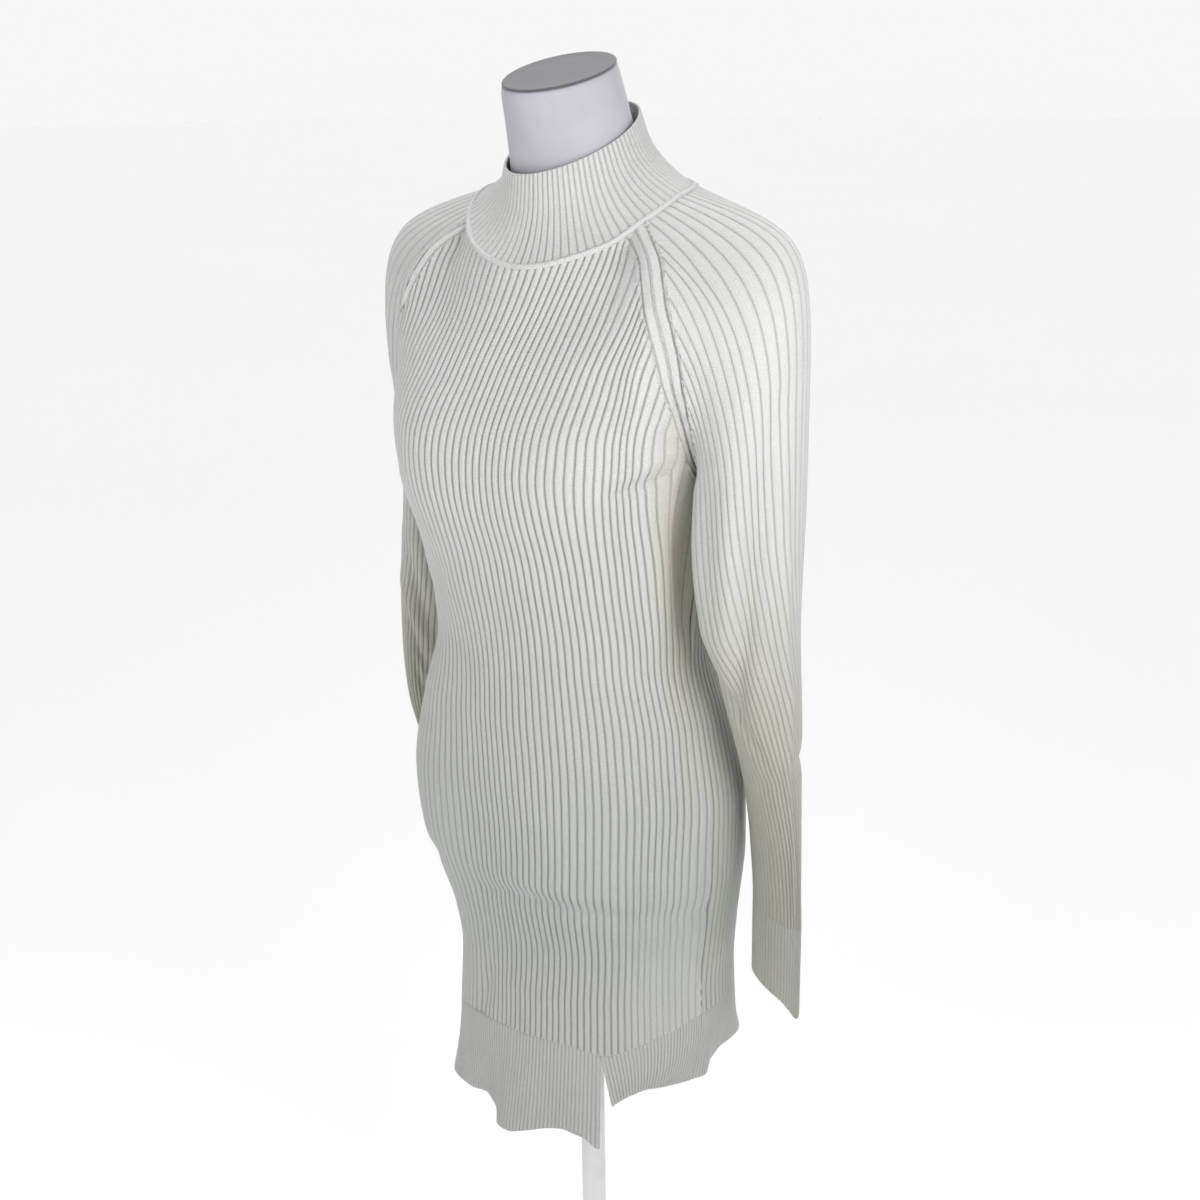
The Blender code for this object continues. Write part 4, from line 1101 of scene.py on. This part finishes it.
# ---- collar and its rolled join
def collar():
    phase = rib_columns(COLLAR_RIBS, FINE_OFFSETS)
    up = 1.0 - np.linspace(0.0, 1.0, COLLAR_ROWS) ** 1.1
    points = collar_point(phase[None] / COLLAR_RIBS * 360.0, up[:, None])
    pitch = np.linalg.norm(np.diff(points, axis=1), axis=2).sum(1) / COLLAR_RIBS
    return shell("knit_collar", points, phase, pitch[:, None], COLLAR_RIB, lengths_down(points),
                 0.0)


dress_piece(collar(), "collar")


def roll():
    """A thin roll round the neck seam, with a fine ripple on its outer side."""
    turns = np.linspace(0.0, 360.0, 320, endpoint=False)
    sides = np.linspace(-np.pi + 0.02, np.pi - 0.02, 15)
    centre = neck_point(turns)
    tangent = unit(np.roll(centre, -1, 0) - np.roll(centre, 1, 0))
    out = unit(vectors(centre[:, 0], centre[:, 1] - NECK_CENTRE, 4.0))
    out = unit(out - tangent * (out * tangent).sum(1, keepdims=True))
    across = np.cross(tangent, out)
    centre = centre - out * (WALL / 2 - 0.06)
    ripple = 0.05 * np.sin(np.radians(turns) * 110)[:, None] * np.maximum(np.cos(sides), 0)[None]
    radius = ROLL_RADIUS * (1.0 + ripple)
    points = (centre[:, None] + out[:, None] * (np.cos(sides)[None] * radius)[..., None]
              + across[:, None] * (np.sin(sides)[None] * radius)[..., None])
    flat = np.zeros(radius.shape)
    course = np.broadcast_to((turns / 360.0 * 62.0)[:, None], radius.shape)
    return make("knit_neck_roll", points, [turned(ring_faces(*radius.shape, False))], knit,
                knit_attributes(flat, flat + sides[None], course, 0.0))


dress_piece(roll(), "neck_roll")


# ---- the form, its cap and its stand
def round_turn(count=144):
    return np.linspace(0, 360, count, endpoint=False)


def form_ring(row, z, shrink):
    return oval(round_turn(), z, row, -shrink, -shrink)


def neck_ring(share, shrink=0.0, rise=0.0):
    half_width, half_depth, centre = lookup(NECK_RINGS, share)
    angle = round_turn()
    high = NECK_TOP - NECK_TILT * np.cos(np.radians(angle)) * (1.0 - shrink / half_depth)
    low = FORM_TOP[-1][0]
    depth = half_depth - shrink
    return half_ovals(angle, half_width - shrink, depth, depth, centre,
                      low + (high - low) * share + rise)


def disc(radius, z, count):
    return half_ovals(round_turn(count), radius, radius, radius, 0.0, z)


def lathe(name, rings, material):
    """A closed smooth skin through rings, with a centre point at each end."""
    rows, count = len(rings), len(rings[0])
    points = np.concatenate([*rings, [rings[0].mean(0), rings[-1].mean(0)]])
    here = np.arange(count)
    there = (here + 1) % count
    hub = np.full(count, rows * count)
    last = (rows - 1) * count
    fans = [np.stack([hub, there, here], -1), np.stack([hub + 1, last + here, last + there], -1)]
    return make(name, points, [grid_faces(rows, count, True, flip=True), *fans], material)


def form_cover():
    inset = WALL + FORM_CLEARANCE
    low_row = lookup(BODY, FORM_BOTTOM)
    rings = [form_ring(low_row, FORM_BOTTOM + rise, inset + draw) for rise, draw in FORM_FOOT]
    rings += [form_ring(lookup(BODY, z), z, inset + FORM_SIDE_IN * bell(z - 105.0, 8.0))
              for z in np.arange(69.5, 104.0, 1.5)]
    rings += [form_ring(lookup(FORM_TOP, z), z, FORM_SIDE_IN * bell(z - 105.0, 8.0))
              for z in np.arange(105.0, 139.4, 0.75)]
    rings += [neck_ring(share) for share in np.linspace(0.04, 0.96, 24)]
    rings += [neck_ring(share, shrink) for share, shrink in NECK_RIM]
    return lathe("form_cover", rings, cover)


piece(form_cover(), "form_torso")
cap = lathe("form_cap_cover", [neck_ring(1.0, shrink, rise) for rise, shrink in CAP_RINGS], cap_cloth)
piece(cap, "form_cap")
ends = (FOOT_THICKNESS + SEAM_GAP, FORM_BOTTOM - SEAM_GAP)
pole = lathe("stand_pole_tube", [disc(radius, z, 64) for radius, z in (
    (0.9, ends[0]), (POLE_RADIUS - 0.05, ends[0]), (POLE_RADIUS, ends[0] + 0.05),
    (POLE_RADIUS, 20.0), (POLE_RADIUS, 40.0), (POLE_RADIUS, ends[1] - 0.05),
    (POLE_RADIUS - 0.05, ends[1]), (0.9, ends[1]))], paint)
piece(pole, "stand_pole")
foot = lathe("stand_foot_plate", [disc(FOOT_RADIUS - inward, z, 96)
                                  for inward, z in FOOT_RINGS], paint)
piece(foot, "stand_foot")

# ---- floor, light and camera
FLOOR_REACH = 6000.0  # in centimetres, where lights and camera are in metres
corners = np.array([(-1, -1, 0), (1, -1, 0), (1, 1, 0), (-1, 1, 0)]) * FLOOR_REACH
floor = make("studio_floor", corners, [np.array([[0, 1, 2, 3]])], floor_material())

WORLD = {"low": 0.06, "high": 0.16, "horizon": 0.93, "sky": 0.25}
LIGHTS = (
    # name, kind, energy, size, azimuth, elevation, distance, height of the point lit
    ("back_light", "SUN", 2.8, math.radians(40.0), 215.0, 52.0, 4.0, 1.0),
    ("key", "AREA", 8.0, 0.7, 66.0, 12.0, 1.15, 1.25),
    ("fill", "AREA", 6.2, 0.9, 2.0, 14.0, 1.25, 1.22),
)
CAMERA = {"azimuth": 35.0, "distance": 1.50, "height": 1.46, "shift": 0.015, "pitch": 17.4,
          "roll": -0.8, "lens": 49.44}


def add_world():
    """White all round, brighter at the horizon than above it."""
    world = bpy.data.worlds.new("soft_studio")
    bpy.context.scene.world = world
    n = Nodes(world, "Background")
    up = n.add("SeparateXYZ", {0: n.add("TexCoord").outputs["Generated"]}).outputs[2]
    inputs = {"Value": up, "From Min": WORLD["low"], "From Max": WORLD["high"],
              "To Min": WORLD["horizon"], "To Max": WORLD["sky"]}
    level = n.add("MapRange", inputs, interpolation_type="SMOOTHSTEP").outputs[0]
    n.set(strength=level, color=(1.0, 1.0, 1.0, 1.0))


def add_light(name, kind, energy, size, azimuth, elevation, distance, height):
    data = bpy.data.lights.new(name, kind)
    data.energy = energy
    if kind == "SUN":
        data.angle = size
    else:
        data.shape, data.size = "DISK", size
    a, e = math.radians(azimuth), math.radians(elevation)
    toward = Vector((math.sin(a) * math.cos(e), -math.cos(a) * math.cos(e), math.sin(e)))
    lamp = put(name, data)
    lamp.rotation_euler = toward.to_track_quat("Z", "Y").to_euler()
    lamp.location = Vector((0.0, 0.0, height)) + toward * distance
    lamp.visible_camera = False


def add_camera():
    a, p, r = (math.radians(CAMERA[k]) for k in ("azimuth", "pitch", "roll"))
    right = Vector((math.cos(a), math.sin(a), 0.0))
    forward = Vector((-math.sin(a) * math.cos(p), math.cos(a) * math.cos(p), -math.sin(p)))
    up = right.cross(forward)
    x, y = math.cos(r) * right + math.sin(r) * up, math.cos(r) * up - math.sin(r) * right
    data = bpy.data.cameras.new("camera")
    data.lens, data.sensor_width = CAMERA["lens"], 36.0
    reach, height = CAMERA["distance"], CAMERA["height"]
    spot = Vector((reach * math.sin(a), -reach * math.cos(a), height)) + right * CAMERA["shift"]
    camera = put("camera", data)
    camera.matrix_world = Matrix.Translation(spot) @ Matrix((x, y, -forward)).transposed().to_4x4()
    bpy.context.scene.camera = camera


add_world()
for light in LIGHTS:
    add_light(*light)
add_camera()
bpy.context.scene.view_settings.view_transform = "Standard"
